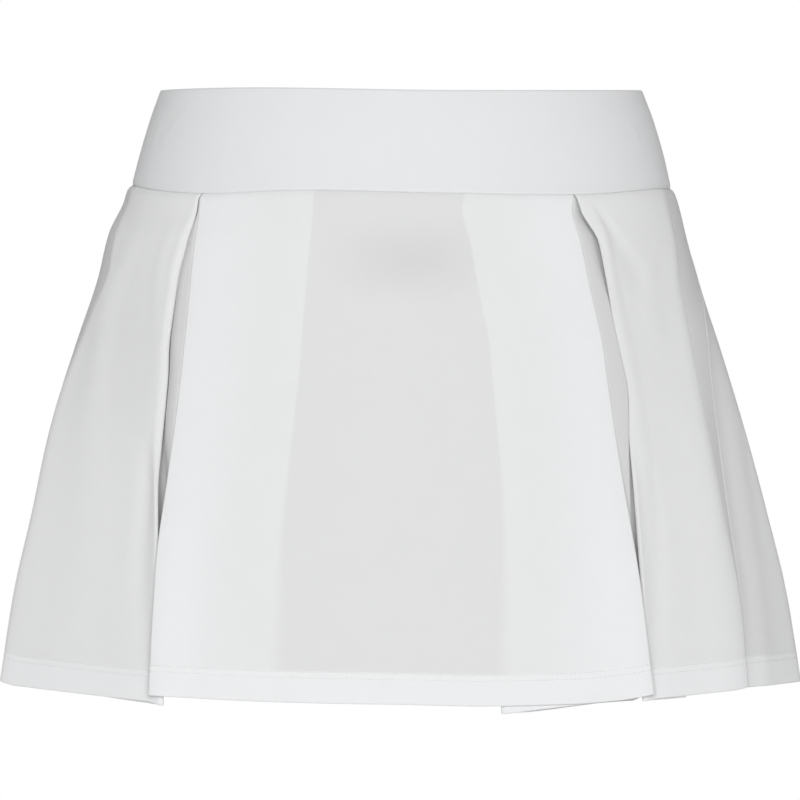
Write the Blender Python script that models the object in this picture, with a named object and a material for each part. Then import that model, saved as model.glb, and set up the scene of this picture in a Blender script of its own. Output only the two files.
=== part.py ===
"""A pleated tennis skirt, worn: a folded knit waistband and an A-line skirt with
two inverted box pleats in front and one at each side.

The frame is the wearer's: the front faces -Y, +X is the viewer's right, +Z is
up, and the origin is the centre of the waist opening, level with its top edge.

Every level of the skirt is a ring. A point on a ring is given by its angle
round the body (0 at the centre front, +90 at the viewer's right side, 180 at
the centre back) and by its depth, the distance that a layer of cloth lies
inside the outermost one. Between the corners of the plan the ring is drawn
straight, for the side panels hang flat. All the sizes in the tables are in
millimetres and all the angles in degrees.
"""

import bpy
import numpy as np

MM = 0.001

# ---------------------------------------------------------------- driving sizes
SEAM_DROP = 56.5        # top edge of the waist down to the seam under the band
SKIRT_LENGTH = 339.0    # top edge of the waist down to the hem
BAND_WALL = 2.0         # the band is a doubled knit
CLOTH_WALL = 1.0        # one layer of the skirt
SEAM_GAP = 0.3          # between pieces that are sewn together
BAND_EDGE_DROPS = (0.0, 0.3, 1.0)     # levels of the band's rounded top edge
BAND_EDGE_INSETS = (0.7, 0.3, 0.0)    # how far that edge has rounded inwards
BAND_COLUMNS = 28       # faces round each half of the band

# Half widths and half depths of the outer face at each drop below the top edge.
OUTLINE_COLUMNS = ("drop", "left", "right", "front", "back")
BAND_OUTLINE = (
    (0.0, 138.3, 138.0, 99.0, 101.0),
    (17.0, 144.4, 144.4, 103.4, 105.2),
    (38.0, 150.4, 150.4, 107.8, 109.4),
    (56.5, 155.0, 155.2, 111.6, 113.2),
)
SKIRT_OUTLINE = (
    (56.5, 155.5, 156.0, 112.0, 113.5),
    (60.0, 158.0, 157.5, 113.0, 115.0),
    (66.0, 159.8, 158.9, 114.2, 116.5),
    (84.0, 168.6, 163.6, 117.2, 121.0),
    (110.0, 175.0, 170.7, 121.0, 126.0),
    (152.0, 188.2, 183.5, 127.0, 134.0),
    (196.0, 202.0, 196.9, 133.5, 142.0),
    (242.0, 212.3, 209.5, 139.5, 149.0),
    (288.0, 222.9, 220.4, 145.0, 155.0),
    (346.0, 231.5, 229.9, 150.5, 161.5),
)

# The levels at which the skirt's rings stand.
RING_DROPS = (56.5, 59.0, 66.0, 84.0, 100.0, 111.0, 119.0, 127.0, 137.0, 150.0, 165.0,
              182.0, 202.0, 225.0, 250.0, 280.0, 310.0, 339.0)

# Angle of every pressed pleat edge at the levels of EDGE_DROPS. A pleat lies
# between two edges, and a panel between the edges of two pleats.
EDGE_DROPS = (56.5, 66.0, 84.0, 105.0, 135.0, 160.0, 195.0, 245.0, 290.0, 339.0)
PLEAT_EDGES = {
    "left back": (-99.0, -99.5, -101.0, -101.0, -94.0, -85.0, -79.0, -76.0, -75.2, -75.2),
    "left side": (-80.0, -79.5, -78.0, -77.0, -81.5, -81.5, -78.0, -75.2, -74.7, -74.7),
    "left front": (-46.8, -46.5, -45.2, -46.6, -45.4, -43.9, -42.7, -40.3, -37.8, -35.4),
    "centre left": (-46.0, -45.0, -42.9, -42.4, -41.0, -39.6, -38.1, -38.0, -37.7, -37.3),
    "centre right": (38.4, 38.6, 38.7, 38.5, 38.3, 38.2, 37.5, 36.9, 37.1, 38.0),
    "right front": (39.1, 40.8, 44.2, 43.0, 43.8, 43.1, 41.2, 39.2, 38.2, 37.3),
    "right side": (75.5, 75.2, 76.0, 71.4, 68.6, 66.8, 64.8, 61.5, 60.7, 59.4),
    "right back": (94.5, 95.0, 95.0, 89.5, 77.4, 72.2, 68.1, 63.8, 61.4, 59.0),
}

# How far the cloth goes back under its panel from each edge before it turns
# into the underlay: at the seam, half-way down and at the hem.
RETURN_DROPS = (56.5, 195.0, 339.0)
RETURN_WIDTHS = {
    "left back": (28.0, 58.0, 68.0),
    "left side": (26.0, 34.0, 44.0),
    "left front": (26.0, 34.0, 44.0),
    "centre left": (66.0, 67.0, 70.0),
    "centre right": (62.0, 66.0, 82.0),
    "right front": (26.0, 27.0, 32.0),
    "right side": (26.0, 25.0, 28.0),
    "right back": (28.0, 58.0, 68.0),
}

# Depths of the layers in a pleat at each drop: "back" is a return behind its panel and
# "turn" the underlay behind a return. "back sink" and "front sink" are how far the back
# panel's and the side panels' edges have gone in under the panel that meets them, and
# "rise" is how far the centre panel's edges stand out.
LAYER_COLUMNS = ("drop", "back", "turn", "back sink", "front sink", "rise")
LAYERS = (
    (56.5, 2.0, 2.2, 0.0, 0.0, 0.0),
    (84.0, 2.2, 2.4, 0.0, 0.0, 1.0),
    (120.0, 2.3, 2.6, 0.6, 0.0, 1.4),
    (160.0, 2.3, 2.8, 2.0, 0.0, 1.8),
    (217.0, 2.3, 3.0, 4.0, 0.6, 3.2),
    (290.0, 2.3, 3.4, 4.2, 1.2, 4.0),
    (339.0, 2.4, 3.6, 4.2, 1.2, 3.6),
)
SINKING_EDGES = {"left back": "back sink", "right back": "back sink",
                 "left front": "front sink", "right front": "front sink"}
RISING_EDGES = ("centre left", "centre right")
SINK_REACH = 25.0       # from a sunk edge to where its panel is level again
RISE_REACH = 30.0

# Depth of the underlay of each pleat, named by its first edge: under the panels beside
# the opening, and in the opening itself, where it is drawn out again.
OPENING_COLUMNS = ("drop", "floor", "open")
OPENINGS = {
    "left back": (
        (56.5, 4.6, 1.6), (84.0, 5.4, 1.2), (160.0, 6.8, 1.6), (217.0, 8.6, 2.4),
        (339.0, 9.2, 2.4)),
    "left front": (
        (56.5, 4.6, 3.4), (84.0, 5.0, 1.8), (160.0, 5.2, 1.2), (195.0, 5.8, 1.8),
        (245.0, 7.0, 5.0), (339.0, 7.2, 7.2)),
    "centre right": (
        (56.5, 4.6, 3.6), (84.0, 5.8, 2.6), (105.0, 5.2, 1.4), (195.0, 5.2, 1.2),
        (245.0, 5.8, 2.0), (339.0, 7.2, 7.2)),
    "right side": (
        (56.5, 4.6, 1.6), (84.0, 5.4, 1.2), (160.0, 6.8, 1.6), (217.0, 8.6, 2.4),
        (339.0, 9.2, 2.4)),
}
OPEN_REACH = 4.0        # from an edge to where the underlay is fully drawn out
FLOOR_MARGIN = 10.0     # the floor goes this far under each side of a pleat

# Drop of the hem at each edge and at the turn of each return.
HEM_DROPS = {
    "left back": (338.5, 338.0),
    "left side": (339.0, 338.0),
    "left front": (341.2, 339.5),
    "centre left": (337.0, 338.3),
    "centre right": (336.6, 345.4),
    "right front": (340.3, 340.0),
    "right side": (336.8, 337.5),
    "right back": (336.5, 337.5),
}
# The centre panel hangs lower between its edges, most to the right of centre.
CENTRE_BOW_PLACES = (0.0, 0.24, 0.5, 0.67, 0.82, 0.93, 1.0)
CENTRE_BOW_DROPS = (0.0, 1.9, 2.9, 4.2, 3.9, 2.6, 0.0)
BACK_HEM_BOW = 2.5      # the same of the back panel, at its middle

# Drop of the seam at each angle: the thick pleats draw it down a little.
SEAM_ANGLES = (-180.0, -90.0, -46.0, -20.0, 8.0, 39.0, 70.0, 90.0, 180.0)
SEAM_DROPS = (56.5, 54.4, 58.1, 55.7, 57.2, 58.6, 56.2, 56.6, 56.5)
# The band's top edge stands a little higher left of the centre front.
EDGE_RISE = 1.5
EDGE_RISE_ANGLE = -36.0
EDGE_RISE_REACH = 52.0

# Corners of the plan, between which the cloth hangs flat instead of round the body:
# the pleat edges whose mean angle a corner follows, or its own angle, and how far it
# stands out from the ring at CORNER_DROPS.
CORNER_DROPS = (56.5, 105.0, 135.0, 160.0, 195.0, 245.0, 290.0, 339.0)
ON_RING = (0.0,) * len(CORNER_DROPS)
CORNERS = {
    "left haunch": (-114.0, ON_RING),
    "left crest": (("left side",), (0.0, 0.0, 1.1, 3.1, 5.4, 7.0, 7.0, 7.8)),
    "left slot": (("left front", "centre left"), ON_RING),
    "right slot": (("centre right", "right front"), ON_RING),
    "right fold": (("right side",), ON_RING),
    "right crest": (79.0, (0.0, 0.0, 0.3, 1.8, 2.6, 2.9, 3.7, 3.8)),
    "right haunch": (114.0, ON_RING),
}
# Pairs of corners, and how flat the cloth is between them at CORNER_DROPS: 1 is straight.
FLAT_SECTORS = (
    ("left haunch", "left crest", (0.0, 0.0, 0.0, 0.3, 0.8, 1.0, 1.0, 1.0)),
    ("left crest", "left slot", (0.0, 0.7, 0.86, 0.93, 0.97, 1.0, 1.0, 1.0)),
    ("right slot", "right fold", (0.0, 0.7, 0.85, 0.9, 0.9, 0.9, 0.9, 0.9)),
    ("right fold", "right crest", (0.0, 0.0, 0.0, 0.5, 0.9, 1.0, 1.0, 1.0)),
    ("right crest", "right haunch", (0.0, 0.0, 0.0, 0.2, 0.7, 1.0, 1.0, 1.0)),
)

# Soft flutes that the flare makes in the back panel.
BACK_FLUTES = (
    # angle at the seam, angle at the hem, half width in degrees, height at the hem
    (112.0, 115.0, 15.0, 5.0),
    (141.0, 145.0, 16.0, 8.0),
    (172.0, 176.0, 17.0, 7.0),
    (204.0, 209.0, 17.0, 8.5),
    (234.0, 240.0, 15.0, 6.0),
)
FLUTE_START = 110.0     # above this drop the cloth is smooth

# Faces along each stretch of cloth.
PANEL_FACES = 10
CENTRE_FACES = 18
BACK_FACES = 36
SHORT_RETURN_FACES = 3
LONG_RETURN_FACES = 5
UNDERLAY_FACES = 14
HIDDEN_FACES = 4        # of an underlay, on each side of its open part
HALF_UNDERLAY_FACES = 6
CREST_FACES = 5         # of the back panel, from its right edge to the crest
FOLD_FACES = 4          # round each fold
OPEN_MARGIN = 5.0       # the open part of an underlay is counted this far past an edge
CREST_MARGIN = 5.0      # and the crest at least this many degrees past the edge

KNIT = {"colour": (0.83, 0.835, 0.84, 1.0), "roughness": 0.75}
BAND_KNIT = {"colour": (0.85, 0.855, 0.86, 1.0), "roughness": 0.7}


# ---------------------------------------------------------------- smooth tables
def smooth_value(at, places, values):
    """A curve through the values that never swings past them (monotone cubic)."""
    places = np.asarray(places, float)
    values = np.asarray(values, float)
    steps = np.diff(places)
    slopes = np.diff(values) / steps
    tangents = np.empty_like(values)
    tangents[0] = slopes[0]
    tangents[-1] = slopes[-1]
    same_way = slopes[:-1] * slopes[1:] > 0
    total = np.where(same_way, slopes[:-1] + slopes[1:], 1.0)
    tangents[1:-1] = np.where(same_way, 2 * slopes[:-1] * slopes[1:] / total, 0.0)
    at = np.clip(at, places[0], places[-1])
    cell = np.clip(np.searchsorted(places, at, side="right") - 1, 0, len(steps) - 1)
    part = (at - places[cell]) / steps[cell]
    rest = 1 - part
    start = values[cell] * (1 + 2 * part) + tangents[cell] * steps[cell] * part
    end = values[cell + 1] * (1 + 2 * rest) - tangents[cell + 1] * steps[cell] * rest
    return start * rest ** 2 + end * part ** 2


def table_value(table, columns, name, drop):
    """The value of one named column of a table at a drop."""
    rows = np.array(table)
    return smooth_value(drop, rows[:, columns.index("drop")], rows[:, columns.index(name)])


def ease(value):
    """0 below 0, 1 above 1, and a smooth rise between."""
    part = np.clip(value, 0.0, 1.0)
    return part * part * (3 - 2 * part)


# ---------------------------------------------------------------- rings
def ring_sizes(outline, angle, drop):
    """Half width and half depth of the ring where it has this angle."""
    turn = np.radians(angle)
    left = table_value(outline, OUTLINE_COLUMNS, "left", drop)
    right = table_value(outline, OUTLINE_COLUMNS, "right", drop)
    front = table_value(outline, OUTLINE_COLUMNS, "front", drop)
    back = table_value(outline, OUTLINE_COLUMNS, "back", drop)
    width = np.where(np.sin(turn) < 0, left, right)
    depth = np.where(np.cos(turn) > 0, front, back)
    return width, depth


def ring_point(outline, angle, drop, inset):
    """X and Y of a point that lies inset millimetres inside the outer face."""
    turn = np.radians(angle)
    width, depth = ring_sizes(outline, angle, drop)
    across = np.sin(turn) / width
    along = -np.cos(turn) / depth
    length = np.hypot(across, along)
    x = width * np.sin(turn) - inset * across / length
    y = -depth * np.cos(turn) - inset * along / length
    return x, y


def span_per_degree(angle, drop):
    """Millimetres of the skirt's outer face for one degree at this angle."""
    turn = np.radians(angle)
    width, depth = ring_sizes(SKIRT_OUTLINE, angle, drop)
    return np.radians(np.hypot(width * np.cos(turn), depth * np.sin(turn)))


def from_front(angle):
    """The same angle between -180 and 180."""
    return np.mod(angle + 180.0, 360.0) - 180.0


def corner_place(name, drop):
    """Angle of a corner at a drop, its point on the ring, and how far it stands out."""
    follows, stands_out = CORNERS[name]
    if isinstance(follows, float):
        angle = follows
    else:
        angle = sum(edge_angle(edge, drop) for edge in follows) / len(follows)
    point = np.array(ring_point(SKIRT_OUTLINE, angle, drop, 0.0))
    return angle, point, float(smooth_value(drop, CORNER_DROPS, stands_out))


def flat_inset(angle, drop):
    """How far the flat sectors lie inside the ring.

    It is the distance from the ring's point to the straight line between two corners,
    along the ring's own normal, less the amounts by which the corners stand out.
    """
    around = from_front(angle)
    turn = np.radians(around)
    width, depth = ring_sizes(SKIRT_OUTLINE, around, drop)
    normal = np.stack((np.sin(turn) / width, -np.cos(turn) / depth))
    normal = normal / np.linalg.norm(normal, axis=0)
    points = np.stack(ring_point(SKIRT_OUTLINE, around, drop, 0.0))
    total = np.zeros(turn.shape)
    for first, second, shares in FLAT_SECTORS:
        start, start_point, start_out = corner_place(first, drop)
        end, end_point, end_out = corner_place(second, drop)
        line = end_point - start_point
        length = np.hypot(line[0], line[1])
        across = np.array((line[1], -line[0])) / length
        reach = points - start_point[:, None]
        away = across @ reach
        along = line @ reach / length ** 2
        flat = smooth_value(drop, CORNER_DROPS, shares)
        inset = flat * away / (across @ normal) - start_out * (1 - along) - end_out * along
        total = total + np.where((around > start) & (around <= end), inset, 0.0)
    return total


def seam_drop(angle):
    """Drop of the seam under the waistband, lower at the pleats."""
    return smooth_value(from_front(angle), SEAM_ANGLES, SEAM_DROPS)


def edge_rise(angle):
    """How far the band's top edge stands above the origin's level."""
    away = np.abs(angle - EDGE_RISE_ANGLE) / EDGE_RISE_REACH
    return EDGE_RISE * (1 - ease(away))


def flute_height(angle, drop):
    """How far the flutes stand out from the back panel."""
    grown = ease((drop - FLUTE_START) / (SKIRT_LENGTH - FLUTE_START))
    fall = (drop - SEAM_DROP) / (SKIRT_LENGTH - SEAM_DROP)
    height = np.zeros(np.shape(angle))
    for seam_angle, hem_angle, half_width, full_height in BACK_FLUTES:
        middle = seam_angle + (hem_angle - seam_angle) * fall
        height = height + full_height * (1 - ease(np.abs(angle - middle) / half_width))
    return height * grown


# ---------------------------------------------------------------- layers of cloth
def edge_angle(name, drop):
    """Angle of one pleat edge at a drop."""
    return float(smooth_value(drop, EDGE_DROPS, PLEAT_EDGES[name]))


def turn_angle(name, drop, towards):
    """Angle at which the return behind an edge turns into the underlay."""
    edge = edge_angle(name, drop)
    width = smooth_value(drop, RETURN_DROPS, RETURN_WIDTHS[name])
    return float(edge + towards * width / span_per_degree(edge, drop))


def layer(name, drop):
    """One column of the table of layer depths."""
    return float(table_value(LAYERS, LAYER_COLUMNS, name, drop))


def panel_depth(edges, drop):
    """Depth of a panel: nothing, but for edges that go in under their pair or stand out."""
    def depth(angle):
        total = np.zeros(np.shape(angle))
        for name in edges:
            edge = edge_angle(name, drop)
            away = np.abs(angle - edge) * span_per_degree(edge, drop)
            if name in SINKING_EDGES:
                sink = layer(SINKING_EDGES[name], drop)
                total = total + sink * (1 - ease(away / SINK_REACH))
            if name in RISING_EDGES:
                total = total - layer("rise", drop) * (1 - ease(away / RISE_REACH))
        return total
    return depth


def return_depth(edges, drop):
    """Depth of a return: one layer behind its panel."""
    panel = panel_depth(edges, drop)
    return lambda angle: panel(angle) + layer("back", drop)


def underlay_depth(first, second, drop):
    """Depth of an underlay between its two turns.

    It goes down to the floor from both turns, and comes up again between the edges.
    """
    first_edge, second_edge = edge_angle(first, drop), edge_angle(second, drop)
    first_turn = turn_angle(first, drop, -1)
    second_turn = turn_angle(second, drop, +1)
    first_reach = smooth_value(drop, RETURN_DROPS, RETURN_WIDTHS[first]) - FLOOR_MARGIN
    second_reach = smooth_value(drop, RETURN_DROPS, RETURN_WIDTHS[second]) - FLOOR_MARGIN
    behind = layer("back", drop) + layer("turn", drop)
    floor = table_value(OPENINGS[first], OPENING_COLUMNS, "floor", drop)
    open_depth = table_value(OPENINGS[first], OPENING_COLUMNS, "open", drop)

    def depth(angle):
        scale = span_per_degree(angle, drop)
        from_first = (angle - first_turn) * scale / first_reach
        from_second = (second_turn - angle) * scale / second_reach
        sag = (floor - behind) * ease(from_first) * ease(from_second)
        drawn = ease((angle - first_edge) * scale / OPEN_REACH)
        drawn = drawn * ease((second_edge - angle) * scale / OPEN_REACH)
        return behind + sag - (floor - open_depth) * drawn
    return depth


def leg(start, end, depth, faces, hem, knots=()):
    """One stretch of cloth between two folds, from angle to angle.

    Each knot says how many of its faces lie before a certain angle.
    """
    return {"start": start, "end": end, "depth": depth, "faces": faces, "hem": hem,
            "knots": knots}


def open_part(first, second, drop):
    """The angles between which an underlay is counted as open."""
    first_edge, second_edge = edge_angle(first, drop), edge_angle(second, drop)
    middle = (first_edge + second_edge) / 2
    margin = OPEN_MARGIN / float(span_per_degree(middle, drop))
    half = max((second_edge - first_edge) / 2, 0.0) + margin
    return middle - half, middle + half


def pleat_legs(first, second, first_panel, second_panel, drop, faces):
    """Return, underlay and return of the pleat that opens between two edges."""
    first_edge = edge_angle(first, drop)
    second_edge = edge_angle(second, drop)
    first_turn = turn_angle(first, drop, -1)
    second_turn = turn_angle(second, drop, +1)
    near, far = open_part(first, second, drop)
    return [
        leg(first_edge, first_turn, return_depth(first_panel, drop), faces[0], HEM_DROPS[first]),
        leg(first_turn, second_turn, underlay_depth(first, second, drop), faces[1],
            (HEM_DROPS[first][1], HEM_DROPS[second][1]),
            ((HIDDEN_FACES, near), (faces[1] - HIDDEN_FACES, far))),
        leg(second_turn, second_edge, return_depth(second_panel, drop), faces[2],
            HEM_DROPS[second][::-1]),
    ]


def half_underlay(first, second, side, drop, turn=0.0):
    """The half of a side pleat's underlay that belongs to one piece.

    The side seam runs down the middle, and each piece stops short of it.
    """
    middle = (edge_angle(first, drop) + edge_angle(second, drop)) / 2
    seam = middle + side * SEAM_GAP / 2 / float(span_per_degree(middle, drop))
    hem_middle = (HEM_DROPS[first][1] + HEM_DROPS[second][1]) / 2
    depth = underlay_depth(first, second, drop)
    near, far = open_part(first, second, drop)
    if side > 0:
        start, end = seam, turn_angle(second, drop, +1)
        hems = (hem_middle, HEM_DROPS[second][1])
        knot = (HALF_UNDERLAY_FACES // 2, far + turn)
    else:
        start, end = turn_angle(first, drop, -1), seam
        hems = (HEM_DROPS[first][1], hem_middle)
        knot = (HALF_UNDERLAY_FACES // 2, near + turn)
    return leg(start + turn, end + turn, lambda angle: depth(angle - turn),
               HALF_UNDERLAY_FACES, hems, (knot,))


def front_legs(drop):
    """The skirt's front from its left side seam to its right one."""
    left_panel = ("left side", "left front")
    right_panel = ("right front", "right side")
    centre = ("centre left", "centre right")
    short = SHORT_RETURN_FACES
    left_edge, left_turn = edge_angle("left side", drop), turn_angle("left side", drop, +1)
    right_edge, right_turn = edge_angle("right side", drop), turn_angle("right side", drop, -1)
    return [
        half_underlay("left back", "left side", +1, drop),
        leg(left_turn, left_edge, return_depth(left_panel, drop), short,
            HEM_DROPS["left side"][::-1]),
        leg(left_edge, edge_angle("left front", drop), panel_depth(left_panel, drop),
            PANEL_FACES, (HEM_DROPS["left side"][0], HEM_DROPS["left front"][0])),
        *pleat_legs("left front", "centre left", left_panel, centre, drop,
                    (short, UNDERLAY_FACES, LONG_RETURN_FACES)),
        leg(edge_angle("centre left", drop), edge_angle("centre right", drop),
            panel_depth(centre, drop), CENTRE_FACES,
            (HEM_DROPS["centre left"][0], HEM_DROPS["centre right"][0])),
        *pleat_legs("centre right", "right front", centre, right_panel, drop,
                    (LONG_RETURN_FACES, UNDERLAY_FACES, short)),
        leg(edge_angle("right front", drop), right_edge, panel_depth(right_panel, drop),
            PANEL_FACES, (HEM_DROPS["right front"][0], HEM_DROPS["right side"][0])),
        leg(right_edge, right_turn, return_depth(right_panel, drop), short,
            HEM_DROPS["right side"]),
        half_underlay("right side", "right back", -1, drop),
    ]


def back_legs(drop):
    """The skirt's back from its right side seam round to its left one."""
    full_turn = 360.0
    right_edge, right_turn = edge_angle("right back", drop), turn_angle("right back", drop, +1)
    left_edge = edge_angle("left back", drop) + full_turn
    left_turn = turn_angle("left back", drop, -1) + full_turn
    right_sink = panel_depth(("right back",), drop)
    left_sink = panel_depth(("left back",), drop)

    def depth(angle):
        return right_sink(angle) + left_sink(angle - full_turn)

    def behind(angle):
        return depth(angle) + layer("back", drop)

    return [
        half_underlay("right side", "right back", +1, drop),
        leg(right_turn, right_edge, behind, SHORT_RETURN_FACES, HEM_DROPS["right back"][::-1]),
        leg(right_edge, left_edge, depth, BACK_FACES,
            (HEM_DROPS["right back"][0], HEM_DROPS["left back"][0]),
            ((CREST_FACES, max(right_edge + CREST_MARGIN, CORNERS["right crest"][0])),)),
        leg(left_edge, left_turn, behind, SHORT_RETURN_FACES, HEM_DROPS["left back"]),
        half_underlay("left back", "left side", -1, drop, full_turn),
    ]


# ---------------------------------------------------------------- paths and walls
def fold_points(before, after, drop):
    """The round fold between two legs, its tip at the angle where they meet."""
    tip = before["end"]
    way = np.sign(before["end"] - before["start"])
    start_depth = float(before["depth"](tip))
    end_depth = float(after["depth"](tip))
    radius = abs(end_depth - start_depth) / 2
    centre = tip - way * radius / float(span_per_degree(tip, drop))
    around = np.linspace(0.0, np.pi, FOLD_FACES + 1)
    angles = centre + (tip - centre) * np.sin(around)
    middle = (start_depth + end_depth) / 2
    depths = middle + (start_depth - end_depth) / 2 * np.cos(around)
    return angles, depths, np.full(len(around), before["hem"][1])


def cloth_path(legs, drop, bow):
    """Angles, depths and hem drops of all the columns of one ring."""
    folds = [fold_points(legs[i], legs[i + 1], drop) for i in range(len(legs) - 1)]
    columns = []
    for number, piece in enumerate(legs):
        start = folds[number - 1][0][-1] if number else piece["start"]
        end = folds[number][0][0] if number < len(folds) else piece["end"]
        places = np.linspace(0.0, 1.0, piece["faces"] + 1)
        counts, stops = zip((0, start), *piece["knots"], (piece["faces"], end))
        angles = np.interp(places * piece["faces"], counts, stops)
        hems = piece["hem"][0] + (piece["hem"][1] - piece["hem"][0]) * places
        if number == len(legs) // 2:
            hems = hems + bow(places)
        columns.append((angles, piece["depth"](angles), hems))
        if number < len(folds):
            columns.append(tuple(values[1:-1] for values in folds[number]))
    return [np.concatenate(values) for values in zip(*columns)]


def centre_bow(places):
    """How much lower the centre panel's hem hangs between its edges."""
    return smooth_value(places, CENTRE_BOW_PLACES, CENTRE_BOW_DROPS)


def back_bow(places):
    """How much lower the back panel's hem hangs at its middle."""
    return BACK_HEM_BOW * np.sin(np.pi * places)


def skirt_faces(legs_at, bow):
    """Face and reverse of a skirt piece, as grids of points, a row for each ring."""
    face, reverse = [], []
    for drop in RING_DROPS:
        angles, depths, hems = cloth_path(legs_at(drop), drop, bow)
        inset = depths + CLOTH_WALL / 2 - flute_height(np.mod(angles, 360.0), drop)
        inset = inset + flat_inset(angles, drop)
        x, y = ring_point(SKIRT_OUTLINE, angles, drop, inset)
        fall = (drop - SEAM_DROP) / (SKIRT_LENGTH - SEAM_DROP)
        top = seam_drop(angles) + SEAM_GAP / 2
        z = -(top + (hems - top) * fall)
        across = np.gradient(x)
        along = np.gradient(y)
        length = np.hypot(across, along)
        out_x = along / length * CLOTH_WALL / 2
        out_y = -across / length * CLOTH_WALL / 2
        # at the side seams the rims stand square to the ring, so they face each other
        inner_x, inner_y = ring_point(SKIRT_OUTLINE, angles, drop, inset + CLOTH_WALL / 2)
        out_x[[0, -1]] = (x - inner_x)[[0, -1]]
        out_y[[0, -1]] = (y - inner_y)[[0, -1]]
        face.append(np.stack((x + out_x, y + out_y, z), axis=1))
        reverse.append(np.stack((x - out_x, y - out_y, z), axis=1))
    return np.array(face), np.array(reverse)


def band_faces(start, end):
    """Face and reverse of half of the waistband, with its rounded top edge."""
    half_gap = np.degrees(SEAM_GAP / 2 / BAND_OUTLINE[0][3])
    angles = np.linspace(start + half_gap, end - half_gap, BAND_COLUMNS + 1)
    bottom = seam_drop(angles) - SEAM_GAP / 2
    rise = edge_rise(angles)
    levels = list(zip(BAND_EDGE_DROPS, BAND_EDGE_INSETS))
    levels += [(row[0], 0.0) for row in BAND_OUTLINE[1:]]
    face, reverse = [], []
    for level, inset in levels:
        share = level / SEAM_DROP
        z = rise * (1 - share) - bottom * share
        for rows, depth in ((face, inset), (reverse, BAND_WALL - inset)):
            x, y = ring_point(BAND_OUTLINE, angles, level, depth)
            rows.append(np.stack((x, y, z), axis=1))
    return np.array(face), np.array(reverse)


# ---------------------------------------------------------------- objects
def wall_faces(rows, columns):
    """Quads of a closed wall: its face, its reverse and the four rims."""
    def face(row, column):
        return row * columns + column

    def reverse(row, column):
        return rows * columns + row * columns + column

    quads = []
    for i in range(rows - 1):
        for j in range(columns - 1):
            quads.append((face(i, j), face(i + 1, j), face(i + 1, j + 1), face(i, j + 1)))
            quads.append((reverse(i, j), reverse(i, j + 1), reverse(i + 1, j + 1),
                          reverse(i + 1, j)))
    last_row, last_column = rows - 1, columns - 1
    for j in range(last_column):
        quads.append((face(0, j), face(0, j + 1), reverse(0, j + 1), reverse(0, j)))
        quads.append((face(last_row, j), reverse(last_row, j), reverse(last_row, j + 1),
                      face(last_row, j + 1)))
    for i in range(last_row):
        quads.append((face(i, 0), reverse(i, 0), reverse(i + 1, 0), face(i + 1, 0)))
        quads.append((face(i, last_column), face(i + 1, last_column),
                      reverse(i + 1, last_column), reverse(i, last_column)))
    return quads


def knit_material(name, look):
    """A plain white knit."""
    material = bpy.data.materials.new(name)
    material.use_nodes = True
    shader = material.node_tree.nodes["Principled BSDF"]
    shader.inputs["Base Color"].default_value = look["colour"]
    shader.inputs["Roughness"].default_value = look["roughness"]
    shader.inputs["Metallic"].default_value = 0.0
    return material


def cloth_object(name, grids, look, origin_drop, parent):
    """One cut piece of the skirt as a closed wall of cloth."""
    face, reverse = grids
    rows, columns = face.shape[:2]
    points = np.concatenate((face.reshape(-1, 3), reverse.reshape(-1, 3)))
    points[:, 2] += origin_drop
    mesh = bpy.data.meshes.new(name)
    mesh.from_pydata((points * MM).tolist(), [], wall_faces(rows, columns))
    mesh.validate()
    mesh.shade_smooth()
    mesh.set_sharp_from_angle(angle=np.radians(55.0))
    mesh.materials.append(knit_material(name + "_knit", look))
    piece = bpy.data.objects.new(name, mesh)
    piece.location = (0.0, 0.0, -origin_drop * MM)
    piece.parent = parent
    bpy.context.scene.collection.objects.link(piece)


def main():
    for thing in list(bpy.data.objects):
        bpy.data.objects.remove(thing, do_unlink=True)
    skirt = bpy.data.objects.new("tennis_skirt", None)
    bpy.context.scene.collection.objects.link(skirt)
    cloth_object("waistband_front", band_faces(-90.0, 90.0), BAND_KNIT, 0.0, skirt)
    cloth_object("waistband_back", band_faces(90.0, 270.0), BAND_KNIT, 0.0, skirt)
    cloth_object("skirt_front", skirt_faces(front_legs, centre_bow), KNIT, SEAM_DROP, skirt)
    cloth_object("skirt_back", skirt_faces(back_legs, back_bow), KNIT, SEAM_DROP, skirt)


main()
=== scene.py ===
"""A white pleated tennis skirt as it is worn: its cloth, creases, knit and hem stitches.

The front faces -Y, +X is the viewer's right and the origin is the centre of the waist
opening, level with its top edge. The tables are in millimetres and degrees. A point on a
level of the skirt is given by its angle round the body, 0 at the centre front, +90 at the
viewer's right side and 180 at the centre back, and by its depth, the distance that a
layer of cloth lies inside the outermost one.
"""

import math

import bpy
import numpy as np
from bpy.props import FloatProperty, FloatVectorProperty, PointerProperty
from bpy.types import Operator, Panel, PropertyGroup
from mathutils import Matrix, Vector


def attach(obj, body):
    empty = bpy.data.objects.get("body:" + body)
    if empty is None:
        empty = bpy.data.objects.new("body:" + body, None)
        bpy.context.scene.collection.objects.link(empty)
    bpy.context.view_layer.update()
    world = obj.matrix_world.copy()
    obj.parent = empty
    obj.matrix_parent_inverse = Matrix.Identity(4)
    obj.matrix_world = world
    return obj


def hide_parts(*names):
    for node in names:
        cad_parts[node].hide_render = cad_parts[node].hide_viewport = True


bl_info = {
    "name": "Pleated tennis skirt",
    "version": (1, 0, 0),
    "blender": (4, 5, 0),
    "location": "3D View > Sidebar > Skirt",
    "description": "Makes the cloth, the stitches and the studio of a pleated tennis skirt",
    "category": "Add Mesh",
}

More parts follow.
